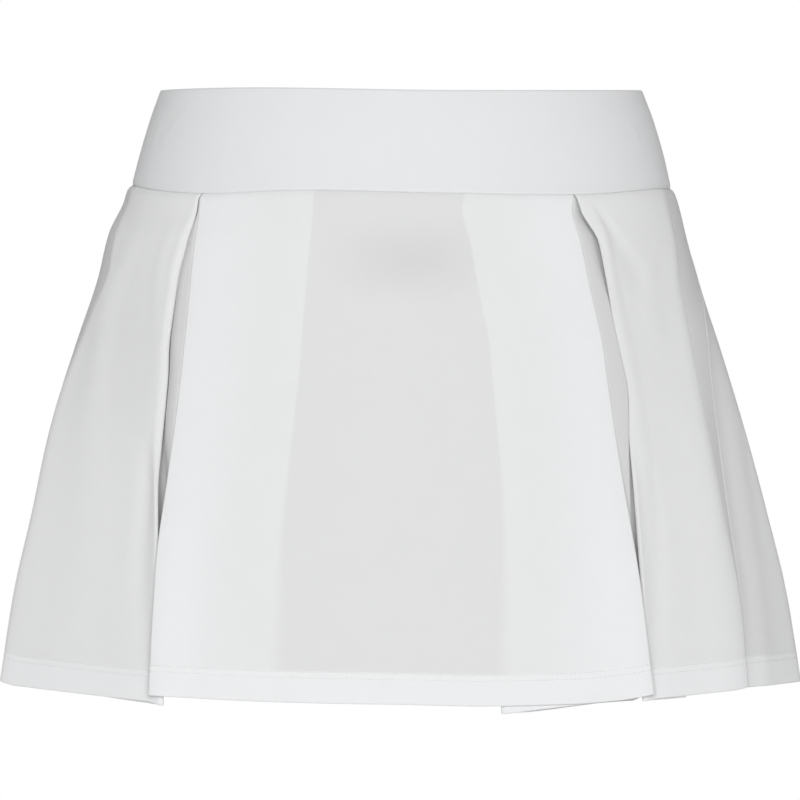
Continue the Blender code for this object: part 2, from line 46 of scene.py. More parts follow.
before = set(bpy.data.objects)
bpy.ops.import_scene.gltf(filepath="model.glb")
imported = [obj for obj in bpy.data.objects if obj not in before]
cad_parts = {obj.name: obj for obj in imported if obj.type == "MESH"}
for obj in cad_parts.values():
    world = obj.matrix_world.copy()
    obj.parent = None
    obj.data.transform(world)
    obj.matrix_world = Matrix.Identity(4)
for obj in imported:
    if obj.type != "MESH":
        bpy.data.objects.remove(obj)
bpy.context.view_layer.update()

MM = 0.001
FULL_TURN = 360.0
SEAM_DROP = 56.5        # top edge of the waist down to the seam under the band
SKIRT_LENGTH = 339.0    # top edge of the waist down to the hem
CLOTH_HEIGHT = SKIRT_LENGTH - SEAM_DROP

# -------- the form of the body
OUTLINE_COLUMNS = ("drop", "left", "right", "front", "back")
BAND_OUTLINE = (
    (0, 137.7, 138, 99, 101),
    (17, 143.6, 144.5, 103.4, 105.2),
    (38, 149.7, 150.7, 107.8, 109.4),
    (56.5, 154.4, 154.9, 111.6, 113.2),
)
SKIRT_OUTLINE = (
    (56.5, 155.5, 156, 112, 113.5),
    (60, 158, 157.8, 113, 115),
    (66, 159.8, 159.8, 114.2, 116.5),
    (84, 168.6, 164.3, 117.2, 121),
    (110, 175, 170.9, 121, 126),
    (152, 187.7, 184.3, 127, 134),
    (196, 201.2, 198.1, 133.5, 142),
    (242, 211.8, 210.7, 139.5, 149),
    (288, 222.8, 221.6, 145, 155),
    (346, 231.3, 231.1, 150.5, 161.5),
)

# -------- the pleats
# Angle of every pleat edge at the levels of EDGE_DROPS.
EDGE_DROPS = (56.5, 66, 84, 105, 135, 160, 195, 245, 290, 339)
PLEAT_EDGES = {
    "left back": (-99, -99.5, -101, -101, -94, -85, -79, -76, -75.2, -75.2),
    "left side": (-80, -79.5, -78, -77, -81.5, -81.5, -78, -75.2, -74.7, -74.7),
    "left front": (-46.8, -46.6, -46.8, -47.8, -47, -45, -42.9, -39.8, -37.5, -35.2),
    "centre left": (-46, -45.2, -43.3, -42.7, -41.4, -40.3, -39.3, -38.9, -37.7, -37.3),
    "centre right": (38.4, 36.8, 37.8, 38.2, 38.6, 38, 37.3, 37, 36.9, 37.4),
    "right front": (39.1, 39.7, 43.2, 43.5, 43.1, 43.1, 40.8, 38.7, 37.4, 36),
    "right side": (75.5, 73.6, 73.8, 70.7, 67.6, 65.1, 62.6, 60.8, 60.4, 59.4),
    "right back": (94.5, 95, 95, 89.5, 77.4, 72.2, 68.1, 63.8, 61.4, 59),
}

FRONT_PANELS = (("left side", "left front"), ("centre left", "centre right"),
                ("right front", "right side"))
BACK_PANEL = ("right back", "left back")

# Width of the return behind each edge: at the seam, half-way down and at the hem.
RETURN_DROPS = (56.5, 195, 339)
RETURN_WIDTHS = {
    "left back": (28, 58, 68),
    "left side": (26, 34, 44),
    "left front": (26, 34, 44),
    "centre left": (66, 67, 70),
    "centre right": (62, 66, 82),
    "right front": (26, 27, 32),
    "right side": (26, 25, 28),
    "right back": (28, 58, 68),
}

# Depths at the pleats: "back" a return behind its panel, "turn" the underlay behind a
# return, "sink" the back panel's edges under the side panels, and "rise" how far the
# centre panel's edges stand out.
LAYER_COLUMNS = ("drop", "back", "turn", "sink", "rise")
LAYERS = (
    (56.5, 1, 0.9, 0, 0),
    (84, 1, 0.9, 0, 0.2),
    (120, 1, 0.9, 0, 0.3),
    (160, 1, 1, 1.6, 0.4),
    (217, 1.1, 1.2, 3.2, 1.2),
    (245, 1.2, 1.4, 3.2, 3),
    (275, 1.3, 1.5, 3.2, 4.6),
    (310, 1.6, 1.7, 3.2, 5),
    (320, 2.3, 2.3, 3.2, 5),
    (339, 2.4, 2.4, 3.2, 5),
)
SINKING_EDGES = BACK_PANEL
RISING_EDGES = FRONT_PANELS[1]
SINK_REACH = 25.0       # from such an edge to where its panel is level again
RISE_REACH = 30.0

# How thick the side panels' front edges roll, beyond the return's own depth, by drop.
ROLLS = {
    "left front": (
        (56.5, 0), (63, 1), (69, 2.2), (75, 4), (84, 5.2), (92, 6),
        (121, 6), (150, 6.4), (178, 6.4), (200, 3.6), (216, 1.2),
        (236, 0.6), (339, 0.4)),
    "right front": (
        (56.5, 0), (105, 0.4), (190, 0.6), (339, 0.4)),
}
ROLL_REACH = 25.0       # from such an edge to where its return lies close again
FOLD_LENGTH = 1.5       # length of a fold, in its own half thicknesses
FOLD_LIT_SHARE = 0.75   # share of the way round it that looks like the leg before it

# How the side panels' edges curl: over which reach, how deep, inwards or outwards where
# negative, and how round, from 0 for a soft bend to 1 for a lip that turns square.
CURL_COLUMNS = ("drop", "reach", "depth", "roundness")
CURLS = {
    "left side": (
        (56.5, 8, 1, 0), (120, 8, 1.8, 0), (217, 8, 1, 0),
        (339, 8, 0.3, 0)),
    "left front": (
        (56.5, 9, 0, 0), (186, 9, 0, 0), (205, 8, -1.5, 0),
        (220, 8, -2.4, 0), (236, 8.5, -2.6, 0), (250, 9, -2.4, 0),
        (265, 10, -2.2, 0), (339, 10, -2, 0)),
    "right front": (
        (56.5, 3, 0.3, 0.8), (84, 4, 0.9, 0.8), (160, 4, 0.9, 0.8),
        (190, 4, 0.9, 0.8), (207, 6, -0.3, 0), (222, 7, -1.3, 0),
        (250, 8, -1.8, 0), (270, 9, -1.8, 0), (339, 10, -1.6, 0)),
    "right side": (
        (56.5, 9, 1.2, 0), (120, 10, 2.2, 0.2), (217, 10, 1.8, 0.2),
        (270, 14, 1.8, 0), (339, 18, 1.8, 0)),
}

# The underlay where a pleat is open: its floor under the panels, its depth beside the
# first edge and beside the second, and between which distances from each edge it comes
# up, negative where that happens behind the panel.
NEAR = (-0.4, 1)        # close beside an edge
SIDE = (-0.4, 1.1)      # the same in the side pleats
OPENING_COLUMNS = ("drop", "floor", "first depth", "second depth", "first from",
                   "first to", "second from", "second to")
OPENINGS = {
    "left back": (
        (56.5, 3.6, 0.2, 1.3, *SIDE, *SIDE),
        (84, 4.2, 0.2, 1.9, *SIDE, *SIDE),
        (120, 4.4, 0.2, 2.1, *SIDE, *SIDE),
        (160, 4.8, 1.45, 1.9, *SIDE, *SIDE),
        (217, 5.8, 3.25, 1.4, *SIDE, *SIDE),
        (339, 6, 3.25, 0.8, *SIDE, *SIDE)),
    "left front": (
        (58, 3, 0.6, 0, 0, 2, *NEAR),
        (64, 4.6, 0.6, 0, -0.6, 3.5, *NEAR),
        (75, 7.2, 0.6, 0, -2, 5.5, *NEAR),
        (84, 8.2, 0.6, 0, -2.6, 7.5, *NEAR),
        (105, 8.8, 0.8, 0.2, -3, 8.5, *NEAR),
        (150, 9.2, 1, 0.2, -3, 11, *NEAR),
        (180, 9.6, 1, 0.2, -3, 11.5, *NEAR),
        (200, 10, 3, 0.4, -3, 12, *NEAR),
        (215, 10, 7, 2.6, -1, 8, *NEAR),
        (236, 10, 8.4, 5.6, -1, 8, *NEAR),
        (260, 10.5, 9.4, 8.4, -1, 8, *NEAR),
        (339, 10, 9, 9, -1, 8, *NEAR)),
    "centre right": (
        (60, 3, 0.2, 0.6, *NEAR, 0, 3),
        (70, 6, 0.3, 0.8, *NEAR, -1, 10),
        (80, 6, 0.3, 0.8, *NEAR, -1, 11),
        (98, 5.4, 0.3, 0.8, *NEAR, -1, 9),
        (110, 4, 0.3, 0.8, *NEAR, -0.5, 5),
        (120, 3.2, 0.3, 0.6, *NEAR, -0.3, 2),
        (190, 3.6, 0.3, 0.6, *NEAR, -0.3, 1.8),
        (205, 4.6, 0.5, 1, *NEAR, 0, 2.5),
        (225, 6.4, 1.2, 2, *NEAR, 0, 3),
        (245, 7.4, 2.6, 3.8, *NEAR, 0, 2.5),
        (270, 8.2, 5, 6, *NEAR, 0, 2.5),
        (339, 8, 7, 7, *NEAR, 0, 2.5)),
    "right side": (
        (56.5, 3.8, 1.5, 0.2, *SIDE, *SIDE),
        (84, 4.4, 2.2, 0.2, *SIDE, *SIDE),
        (120, 4.8, 2.5, 0.2, *SIDE, *SIDE),
        (160, 5, 2.4, 1.45, *SIDE, *SIDE),
        (217, 5.8, 2.1, 3.25, *SIDE, *SIDE),
        (339, 6, 0.8, 3.25, *SIDE, *SIDE)),
}
FLOOR_MARGIN = 10.0     # the floor goes this far under each side of a pleat
FULLEST_CURL = 0.97     # share of its ellipse's half width that a curl reaches

# Drop of the hem at each edge and at the turn of its return.
HEM_DROPS = {
    "left back": (336.5, 336.5),
    "left side": (336.2, 336.5),
    "left front": (342.6, 340.5),
    "centre left": (337, 338.3),
    "centre right": (336.6, 345.4),
    "right front": (340.3, 340),
    "right side": (336.8, 337.5),
    "right back": (336.9, 337.5),
}
# How much lower the centre panel's hem hangs, from its left edge to its right one, and
# the back panel's in its middle.
CENTRE_BOW_PLACES = (0, 0.24, 0.5, 0.67, 0.82, 0.93, 1)
CENTRE_BOW_DROPS = (0, 1.9, 2.9, 4.2, 3.9, 2.6, 0)
BACK_HEM_BOW = 4.5
UNDERLAY_LIFT = 4.0     # how much higher an underlay's hem is between its turns
LIFT_SHARE = 0.12       # share of its columns over which it gets there

# Drop of the seam round the body, and how far the band's top edge rises left of the
# front's middle.
SEAM_ANGLES = (-180, -90, -46, -20, 8, 39, 70, 90, 180)
SEAM_DROPS = (56.5, 54.4, 58.1, 55.7, 57.2, 58.6, 56.2, 56.6, 56.5)
EDGE_RISE = 1.5
EDGE_RISE_ANGLE = -36.0
EDGE_RISE_REACH = 52.0

# Corners of the plan between which the cloth hangs flat instead of round the body: the
# pleat edges whose mean angle a corner follows, or its own angle, and how far it stands
# out from the ring at CORNER_DROPS.
CORNER_DROPS = (56.5, 105, 135, 160, 195, 245, 290, 339)
ON_RING = (0.0,) * len(CORNER_DROPS)
CORNERS = {
    "left haunch": (-114, ON_RING),
    "left crest": (("left side",), (0, 0, 1.2, 3.6, 6.2, 8, 8.2, 9)),
    "left slot": (("left front", "centre left"), ON_RING),
    "right slot": (("centre right", "right front"), ON_RING),
    "right fold": (("right side",), ON_RING),
    "right crest": (82.5, (0, 0, 0.1, 0.8, 1.2, 1.4, 1.9, 2)),
    "right haunch": (114, ON_RING),
}
# Pairs of corners, and how flat the cloth is between them: 1 is straight.
FLAT_SECTORS = (
    ("left haunch", "left crest", (0, 0, 0, 0.3, 0.8, 1, 1, 1)),
    ("left crest", "left slot", (0, 0.7, 0.86, 0.93, 0.97, 1, 1, 1)),
    ("right slot", "right fold", (0, 0.7, 0.85, 0.9, 0.9, 0.9, 0.9, 0.9)),
    ("right fold", "right crest", (0, 0, 0, 0.5, 0.9, 1, 1, 1)),
    ("right crest", "right haunch", (0, 0, 0, 0.2, 0.7, 1, 1, 1)),
)

# -------- creases
# Soft flutes of the back panel: angle at the seam, angle at the hem, half width in
# degrees, height at the hem.
BACK_FLUTES = (
    (112, 115, 15, 5),
    (141, 145, 16, 8),
    (172, 176, 17, 7),
    (204, 209, 17, 8.5),
    (234, 240, 15, 6),
)
FLUTE_START = 110.0

# Creases that run down the cloth. Each row is a drop with the angle of the crease's
# middle, its half width and its height there, outwards when positive. A crease moves
# its panel alone (0), the return behind it too (1) or the underlay as well (2).
PANEL, RETURN, UNDERLAY = 0, 1, 2
SKIRT_CREASES = (
    # rolled lip beside the left pleat
    (RETURN, ((68, -51.8, 6, 0), (80, -52.4, 7, 0.3), (100, -53.6, 8, 0.4),
              (122, -52, 9, 0.3), (150, -48.6, 9, 0.3), (189, -46.7, 10, 0))),
    # shallow troughs low down, before the side panels' front edges turn out
    (RETURN, ((190, -45.8, 8, 0), (207, -45.1, 9, -1), (222, -44.3, 9, -1.4),
              (250, -43.3, 10, -1.4), (270, -42.3, 10, -1.2), (293, -41, 10, -0.8),
              (339, -38.8, 10, -0.4))),
    (RETURN, ((205, 44, 7, 0), (222, 43.8, 8, -0.5), (270, 41.6, 10, -0.6),
              (339, 38.6, 10, -0.4))),
    # broad ridge down the left side panel
    (RETURN, ((74, -65, 12, 0), (93, -67, 14, 0.6), (111, -71.8, 16, 1),
              (129, -72.8, 18, 1.2), (151, -70.5, 19, 1.2), (192, -64.5, 21, 1),
              (230, -59.4, 24, 0.8), (269, -57.2, 26, 0.6), (309, -58, 26, 0.3),
              (339, -57.8, 26, 0.15))),
    # rolled lip beside the right pleat
    (RETURN, ((61.5, 41.8, 5, 0), (78, 44.8, 6, 0.7), (106, 44.9, 7, 0.65),
              (150, 44.9, 7, 0.45), (189, 43.8, 7, 0.45), (228, 42.6, 8, 0.3),
              (267, 41.7, 9, 0))),
    # trough that runs away from the top of the right pleat
    (UNDERLAY, ((61, 42.8, 5, 0), (71, 45.6, 6, -0.9), (79, 47.4, 8, -1),
                (90, 50.2, 12, -0.9), (106, 53.8, 14, -0.5),
                (121, 56.1, 14, 0))),
    # short ridge beyond it
    (RETURN, ((87, 59.1, 12, 0), (104, 57.3, 13, 0.5), (121, 55.5, 14, 0.6),
              (140, 54.2, 14, 0.3), (157, 53.3, 14, 0))),
    # broad ridge low on the right side panel
    (RETURN, ((158, 58.3, 18, 0), (192, 57.6, 20, 0.6), (231, 56.6, 22, 0.8),
              (271, 55.2, 22, 0.7), (310, 54.4, 22, 0.6), (339, 53.8, 22, 0.4))),
    # the hem swings out a little over both returns of the centre panel
    (RETURN, ((240, 27, 26, 0), (300, 27, 28, 1), (339, 27, 30, 1.8))),
    (RETURN, ((250, -26, 26, 0), (300, -27, 30, 0.7), (339, -28, 30, 1.2))),
)
BAND_CREASES = (
    (PANEL, ((6, -57, 3.5, 0), (14, -60, 3.5, 0.25), (24, -64.5, 3.5, 0.25),
             (34, -68, 3.5, 0))),
    (PANEL, ((10, -70, 5, 0), (26, -72, 5, 0.2), (44, -73, 5, 0))),
    (PANEL, ((12, 62, 5, 0), (26, 65, 5, 0.2), (44, 67, 5, 0))),
)

# -------- rows of the cloth
LEVEL_STEP = 3.6        # between two rows of the plain cloth
SEAM_REACH = 3.0        # from the seam to where the cloth starts to roll in to it
SEAM_ROLL = 1.3         # how far it rolls in there
SEAM_LEVELS = 6         # rows of that roll
HEM_EDGE = (0.12, np.pi / 2, 6)     # first and last angle of the rows round the hem's edge
HEM_LEVELS = (2.0, 4.5, 7.0, 9.2)   # of the plain turn-up
STITCH_LEVELS = np.array((-1.1, -0.5, 0.0, 0.5, 1.1))   # from a stitch row
RAW_LEVELS = (-0.1, 0.7, 2.0)       # from the hem's raw edge
RAW_STEP = 0.7          # height over which the second layer ends
RIDGE = (0.09, 1.7)     # height and reach of the ridge between the stitch rows
DENT = (0.06, 1.0)      # depth and reach of the dent at a stitch row
BAND_EDGE = (0.10, np.pi / 2, 8)    # rows round the band's folded top edge
BAND_PLAIN_LEVELS = 34
BAND_SEAM_LEVELS = 7
BAND_ROLL = 0.8         # its roll at the seam, as a share of the skirt's
SIDE_GROOVE = (0.5, 1.6)            # depth and reach of the groove at its side seams
SMOOTH_BEND = math.radians(60.0)    # sharper bends between two faces stay edges

# -------- stitches
STITCH_RINGS = 6
STITCH_SIDES = 6
STITCH_CAP = ((0, 1, 2, 3), (0, 3, 4, 5))   # two quads that close an end
STITCH_SHAPE = (0.35, 1.1, 0.8)     # size of its ends, how deep they dive, how flat it is
STITCH_MARGIN = 2.0     # from a side seam to the first stitch
STITCH_SHIFT = 0.12     # how far a stitch lies off its even place, at most
STITCH_HALF = (0.37, 0.43)          # least and most half length, in pitches
STITCH_TILT = 0.10      # slope against the row, at most

# -------- columns of the cloth
PANEL_COLUMNS = 50
CENTRE_COLUMNS = 60
BACK_COLUMNS = 220
SHORT_RETURN_COLUMNS = 8
LONG_RETURN_COLUMNS = 12
UNDERLAY_COLUMNS = 40
HALF_UNDERLAY_COLUMNS = 24
FOLD_COLUMNS = 12
CROWD_SHARES = (0.14, 0.34)     # of an underlay's columns, before and after each edge
CROWD_OUTSIDE = 1.0     # closer columns start this far before an edge
CROWD_INSIDE = 3.0      # and end this far past it
CROWD_LEAST = 4.2       # half width of the open part that the columns allow for
PANEL_SHARE = 0.25      # share of a side panel's columns beside each of its edges
PANEL_MARGIN = 11.0     # from the edge to where they end
BAND_COLUMNS = 200
CORNER_SPREAD = 1.3     # degrees between the places whose mean rounds a corner of the plan
CORNER_WEIGHTS = (1, 4, 6, 4, 1)
# Distances that mark cloth with no layer behind it, cloth deep in a pleat, which gets painted
# shade, and cloth with narrow returns behind it.
NOT_BACKED = -60.0
IN_A_PLEAT = -90.0
LIGHTLY_BACKED = 12.0
# distance from a back panel's edge, and the backing there; close to the edge it gives painted shade
SIDE_FADE = ((0.0, IN_A_PLEAT), (12.0, NOT_BACKED), (14.0, -8.0), (60.0, LIGHTLY_BACKED))
NARROW = 0.5            # a pleat is never counted as open less than this


# -------- sizes and colours
def length_property(name, description, default, least, most, precision=4):
    """A length in metres."""
    return FloatProperty(name=name, description=description, default=default, min=least,
                         max=most, precision=precision, unit="LENGTH", subtype="DISTANCE")


def power_property(name, description, default):
    """The power of a light in watts."""
    return FloatProperty(name=name, description=description, default=default, min=0.0,
                         max=2000.0, unit="POWER")


def colour_property(name, description, default):
    """A linear colour."""
    return FloatVectorProperty(name=name, description=description, default=default,
                               min=0.0, max=1.0, subtype="COLOR")


class SkirtSizes(PropertyGroup):
    cloth_wall: length_property("Cloth", "Thickness of one layer of the skirt's knit",
                                0.0007, 0.0004, 0.001)
    band_wall: length_property("Band", "Thickness of the doubled waistband",
                               0.0022, 0.0012, 0.0026)
    hem_height: length_property("Hem", "Height of the turned-up hem", 0.0177, 0.016, 0.03)
    upper_row: length_property("Upper stitches", "Height of the upper row above the hem's edge",
                               0.0171, 0.005, 0.03)
    lower_row: length_property("Lower stitches", "Height of the lower row above the hem's edge",
                               0.0138, 0.004, 0.03)
    pitch: length_property("Stitch pitch", "Distance from one stitch to the next",
                           0.0025, 0.0015, 0.005)
    thread: length_property("Thread", "Thickness of the sewing thread", 0.0003, 0.0002, 0.0008, 5)
    crease_depth: FloatProperty(
        name="Creases", description="How strongly the creases of the cloth stand out",
        default=1.0, min=0.0, max=1.3, subtype="FACTOR")


class SkirtColours(PropertyGroup):
    cloth: colour_property("Cloth", "Colour of a single layer of the white knit",
                           (0.795, 0.796, 0.798))
    backed: colour_property("Backed cloth", "Colour of the knit where a layer lies behind it",
                            (0.880, 0.885, 0.892))
    band: colour_property("Band", "Colour of the doubled waistband", (0.838, 0.844, 0.852))
    thread: colour_property("Thread", "Colour of the sewing thread", (0.87, 0.87, 0.87))


class StudioLook(PropertyGroup):
    floor_drop: length_property("Floor", "How far the floor lies below the waist",
                                1.05, 0.5, 2.0, 2)
    floor_radius: length_property("Floor radius", "Radius of the pale floor", 5.5, 1.0, 12.0, 2)
    ambient: FloatProperty(
        name="Room", description="Brightness of the light that comes from all sides",
        default=0.245, min=0.0, max=2.0)
    front_power: power_property("Front light", "Power of the large soft light in front", 121.0)
    back_power: power_property("Back light", "Power of the soft light behind", 80.0)


# -------- smooth tables
def smooth_value(at, places, values):
    """A curve through the values that never swings past them (monotone cubic)."""
    places = np.asarray(places, float)
    values = np.asarray(values, float)
    steps = np.diff(places)
    slopes = np.diff(values) / steps
    tangents = np.empty_like(values)
    tangents[0] = slopes[0]
    tangents[-1] = slopes[-1]
    same_way = slopes[:-1] * slopes[1:] > 0
    total = np.where(same_way, slopes[:-1] + slopes[1:], 1.0)
    tangents[1:-1] = np.where(same_way, 2 * slopes[:-1] * slopes[1:] / total, 0.0)
    at = np.clip(at, places[0], places[-1])
    cell = np.clip(np.searchsorted(places, at, side="right") - 1, 0, len(steps) - 1)
    part = (at - places[cell]) / steps[cell]
    rest = 1 - part
    start = values[cell] * (1 + 2 * part) + tangents[cell] * steps[cell] * part
    end = values[cell + 1] * (1 + 2 * rest) - tangents[cell + 1] * steps[cell] * rest
    return start * rest ** 2 + end * part ** 2


def table_value(table, columns, name, drop):
    """The value of one named column of a table at a drop."""
    rows = np.array(table)
    return smooth_value(drop, rows[:, columns.index("drop")], rows[:, columns.index(name)])


def table_row(table, columns, drop):
    """The values of all the columns but the first at a drop, by name."""
    return {name: table_value(table, columns, name, drop) for name in columns[1:]}


def ease(value):
    """0 below 0, 1 above 1, and a smooth rise between."""
    part = np.clip(value, 0.0, 1.0)
    return part * part * (3 - 2 * part)


def bump(away):
    """1 in the middle, falling smoothly to 0 where the distance reaches 1."""
    return 1 - ease(np.abs(away))


# -------- rings
def ring_sizes(outline, angle, drop):
    """Half width and half depth of the ring where it has this angle."""
    turn = np.radians(angle)
    ring = table_row(outline, OUTLINE_COLUMNS, drop)
    width = np.where(np.sin(turn) < 0, ring["left"], ring["right"])
    depth = np.where(np.cos(turn) > 0, ring["front"], ring["back"])
    return width, depth


def ring_point(outline, angle, drop, inset):
    """X and Y: the ring's ellipse, moved inwards along its own normal by the inset."""
    turn = np.radians(angle)
    width, depth = ring_sizes(outline, angle, drop)
    across = np.sin(turn) / width
    along = -np.cos(turn) / depth
    length = np.hypot(across, along)
    x = width * np.sin(turn) - inset * across / length
    y = -depth * np.cos(turn) - inset * along / length
    return x, y


def span_per_degree(angle, drop):
    """Millimetres of the skirt's outer face for one degree at this angle."""
    turn = np.radians(angle)
    width, depth = ring_sizes(SKIRT_OUTLINE, angle, drop)
    return np.radians(np.hypot(width * np.cos(turn), depth * np.sin(turn)))


def corner_place(name, drop):
    """Angle of a corner of the plan at a drop, its point on the ring, and how far it
    stands out."""
    follows, stands_out = CORNERS[name]
    if isinstance(follows, tuple):
        edges = [smooth_value(drop, EDGE_DROPS, PLEAT_EDGES[edge]) for edge in follows]
        angle = sum(edges) / len(edges)
    else:
        angle = np.full(np.shape(drop), follows)
    point = np.stack(ring_point(SKIRT_OUTLINE, angle, drop, 0.0))
    return angle, point, smooth_value(drop, CORNER_DROPS, stands_out)


def flat_inset(angle, drop):
    """How far the flat sectors lie inside the ring, with their corners rounded: a
    weighted mean of the straight-sided form at places on both sides of the angle."""
    total = np.zeros(angle.shape)
    for step, weight in enumerate(CORNER_WEIGHTS):
        beside = angle + CORNER_SPREAD * (step - len(CORNER_WEIGHTS) // 2)
        total = total + weight * straight_inset(beside, drop)
    return total / sum(CORNER_WEIGHTS)


def straight_inset(angle, drop):
    """The same with sharp corners: the distance from the ring's point to the straight
    line between two corners, along the ring's own normal, less the amounts by which the
    corners stand out."""
    around = from_front(angle)
    turn = np.radians(around)
    width, depth = ring_sizes(SKIRT_OUTLINE, around, drop)
    normal = np.stack((np.sin(turn) / width, -np.cos(turn) / depth))
    normal = normal / np.linalg.norm(normal, axis=0)
    point = np.stack(ring_point(SKIRT_OUTLINE, around, drop, 0.0))
    total = np.zeros(turn.shape)
    for first, second, shares in FLAT_SECTORS:
        start, start_point, start_out = corner_place(first, drop)
        end, end_point, end_out = corner_place(second, drop)
        line = end_point - start_point
        length = np.linalg.norm(line, axis=0)
        across = np.stack((line[1], -line[0])) / length
        from_start = point - start_point
        away = np.sum(from_start * across, axis=0)
        along = np.sum(from_start * line, axis=0) / length ** 2
        inset = smooth_value(drop, CORNER_DROPS, shares) * away / np.sum(normal * across, axis=0)
        inset = inset - start_out * (1 - along) - end_out * along
        total = total + np.where((around > start) & (around <= end), inset, 0.0)
    return total


def from_front(angle):
    """The same angle between -180 and 180."""
    return np.mod(angle + FULL_TURN / 2, FULL_TURN) - FULL_TURN / 2


def seam_drop(angle):
    """Drop of the seam under the waistband, lower at the pleats."""
    return smooth_value(from_front(angle), SEAM_ANGLES, SEAM_DROPS)


def edge_rise(angle):
    """How far the band's top edge stands above the origin's level."""
    return EDGE_RISE * bump((from_front(angle) - EDGE_RISE_ANGLE) / EDGE_RISE_REACH)


def crease_relief(creases, angle, drop, layer, strength):
    """Sum of the creases at a point: each is a bump across its line, with the line's
    angle, half width and height read from the crease's rows at this drop."""
    total = np.zeros(np.broadcast(angle, drop).shape)
    for deepest, rows in creases:
        if layer > deepest:
            continue
        drops, angles, half_widths, heights = np.array(rows).T
        middle = smooth_value(drop, drops, angles)
        away = from_front(angle - middle) * span_per_degree(middle, drop)
        inside = (drop > drops[0]) & ((drop < drops[-1]) | (heights[-1] != 0))
        height = np.where(inside, smooth_value(drop, drops, heights), 0.0)
        total = total + height * bump(away / smooth_value(drop, drops, half_widths))
    return total * strength


def flute_relief(angle, drop):
    """How far the flutes stand out from the back panel."""
    grown = ease((drop - FLUTE_START) / (SKIRT_LENGTH - FLUTE_START))
    fall = (drop - SEAM_DROP) / CLOTH_HEIGHT
    total = np.zeros(np.broadcast(angle, drop).shape)
    for seam_angle, hem_angle, half_width, height in BACK_FLUTES:
        middle = seam_angle + (hem_angle - seam_angle) * fall
        total = total + height * bump((np.mod(angle, FULL_TURN) - middle) / half_width)
    return total * grown


# -------- layers of cloth
def evenly(distance):
    """The same backing all over a stretch of cloth."""
    return lambda angle: np.full(angle.shape, distance)


def leg(start, end, depth, columns, hem, backing=evenly(NOT_BACKED), crowd=None, lift=0.0):
    """One stretch of cloth between two folds, from angle to angle. Its columns crowd
    together where a share of them is to reach a nearer angle."""
    return {"start": start, "end": end, "depth": depth, "columns": columns, "hem": hem,
            "backing": backing, "crowd": crowd, "lift": lift}


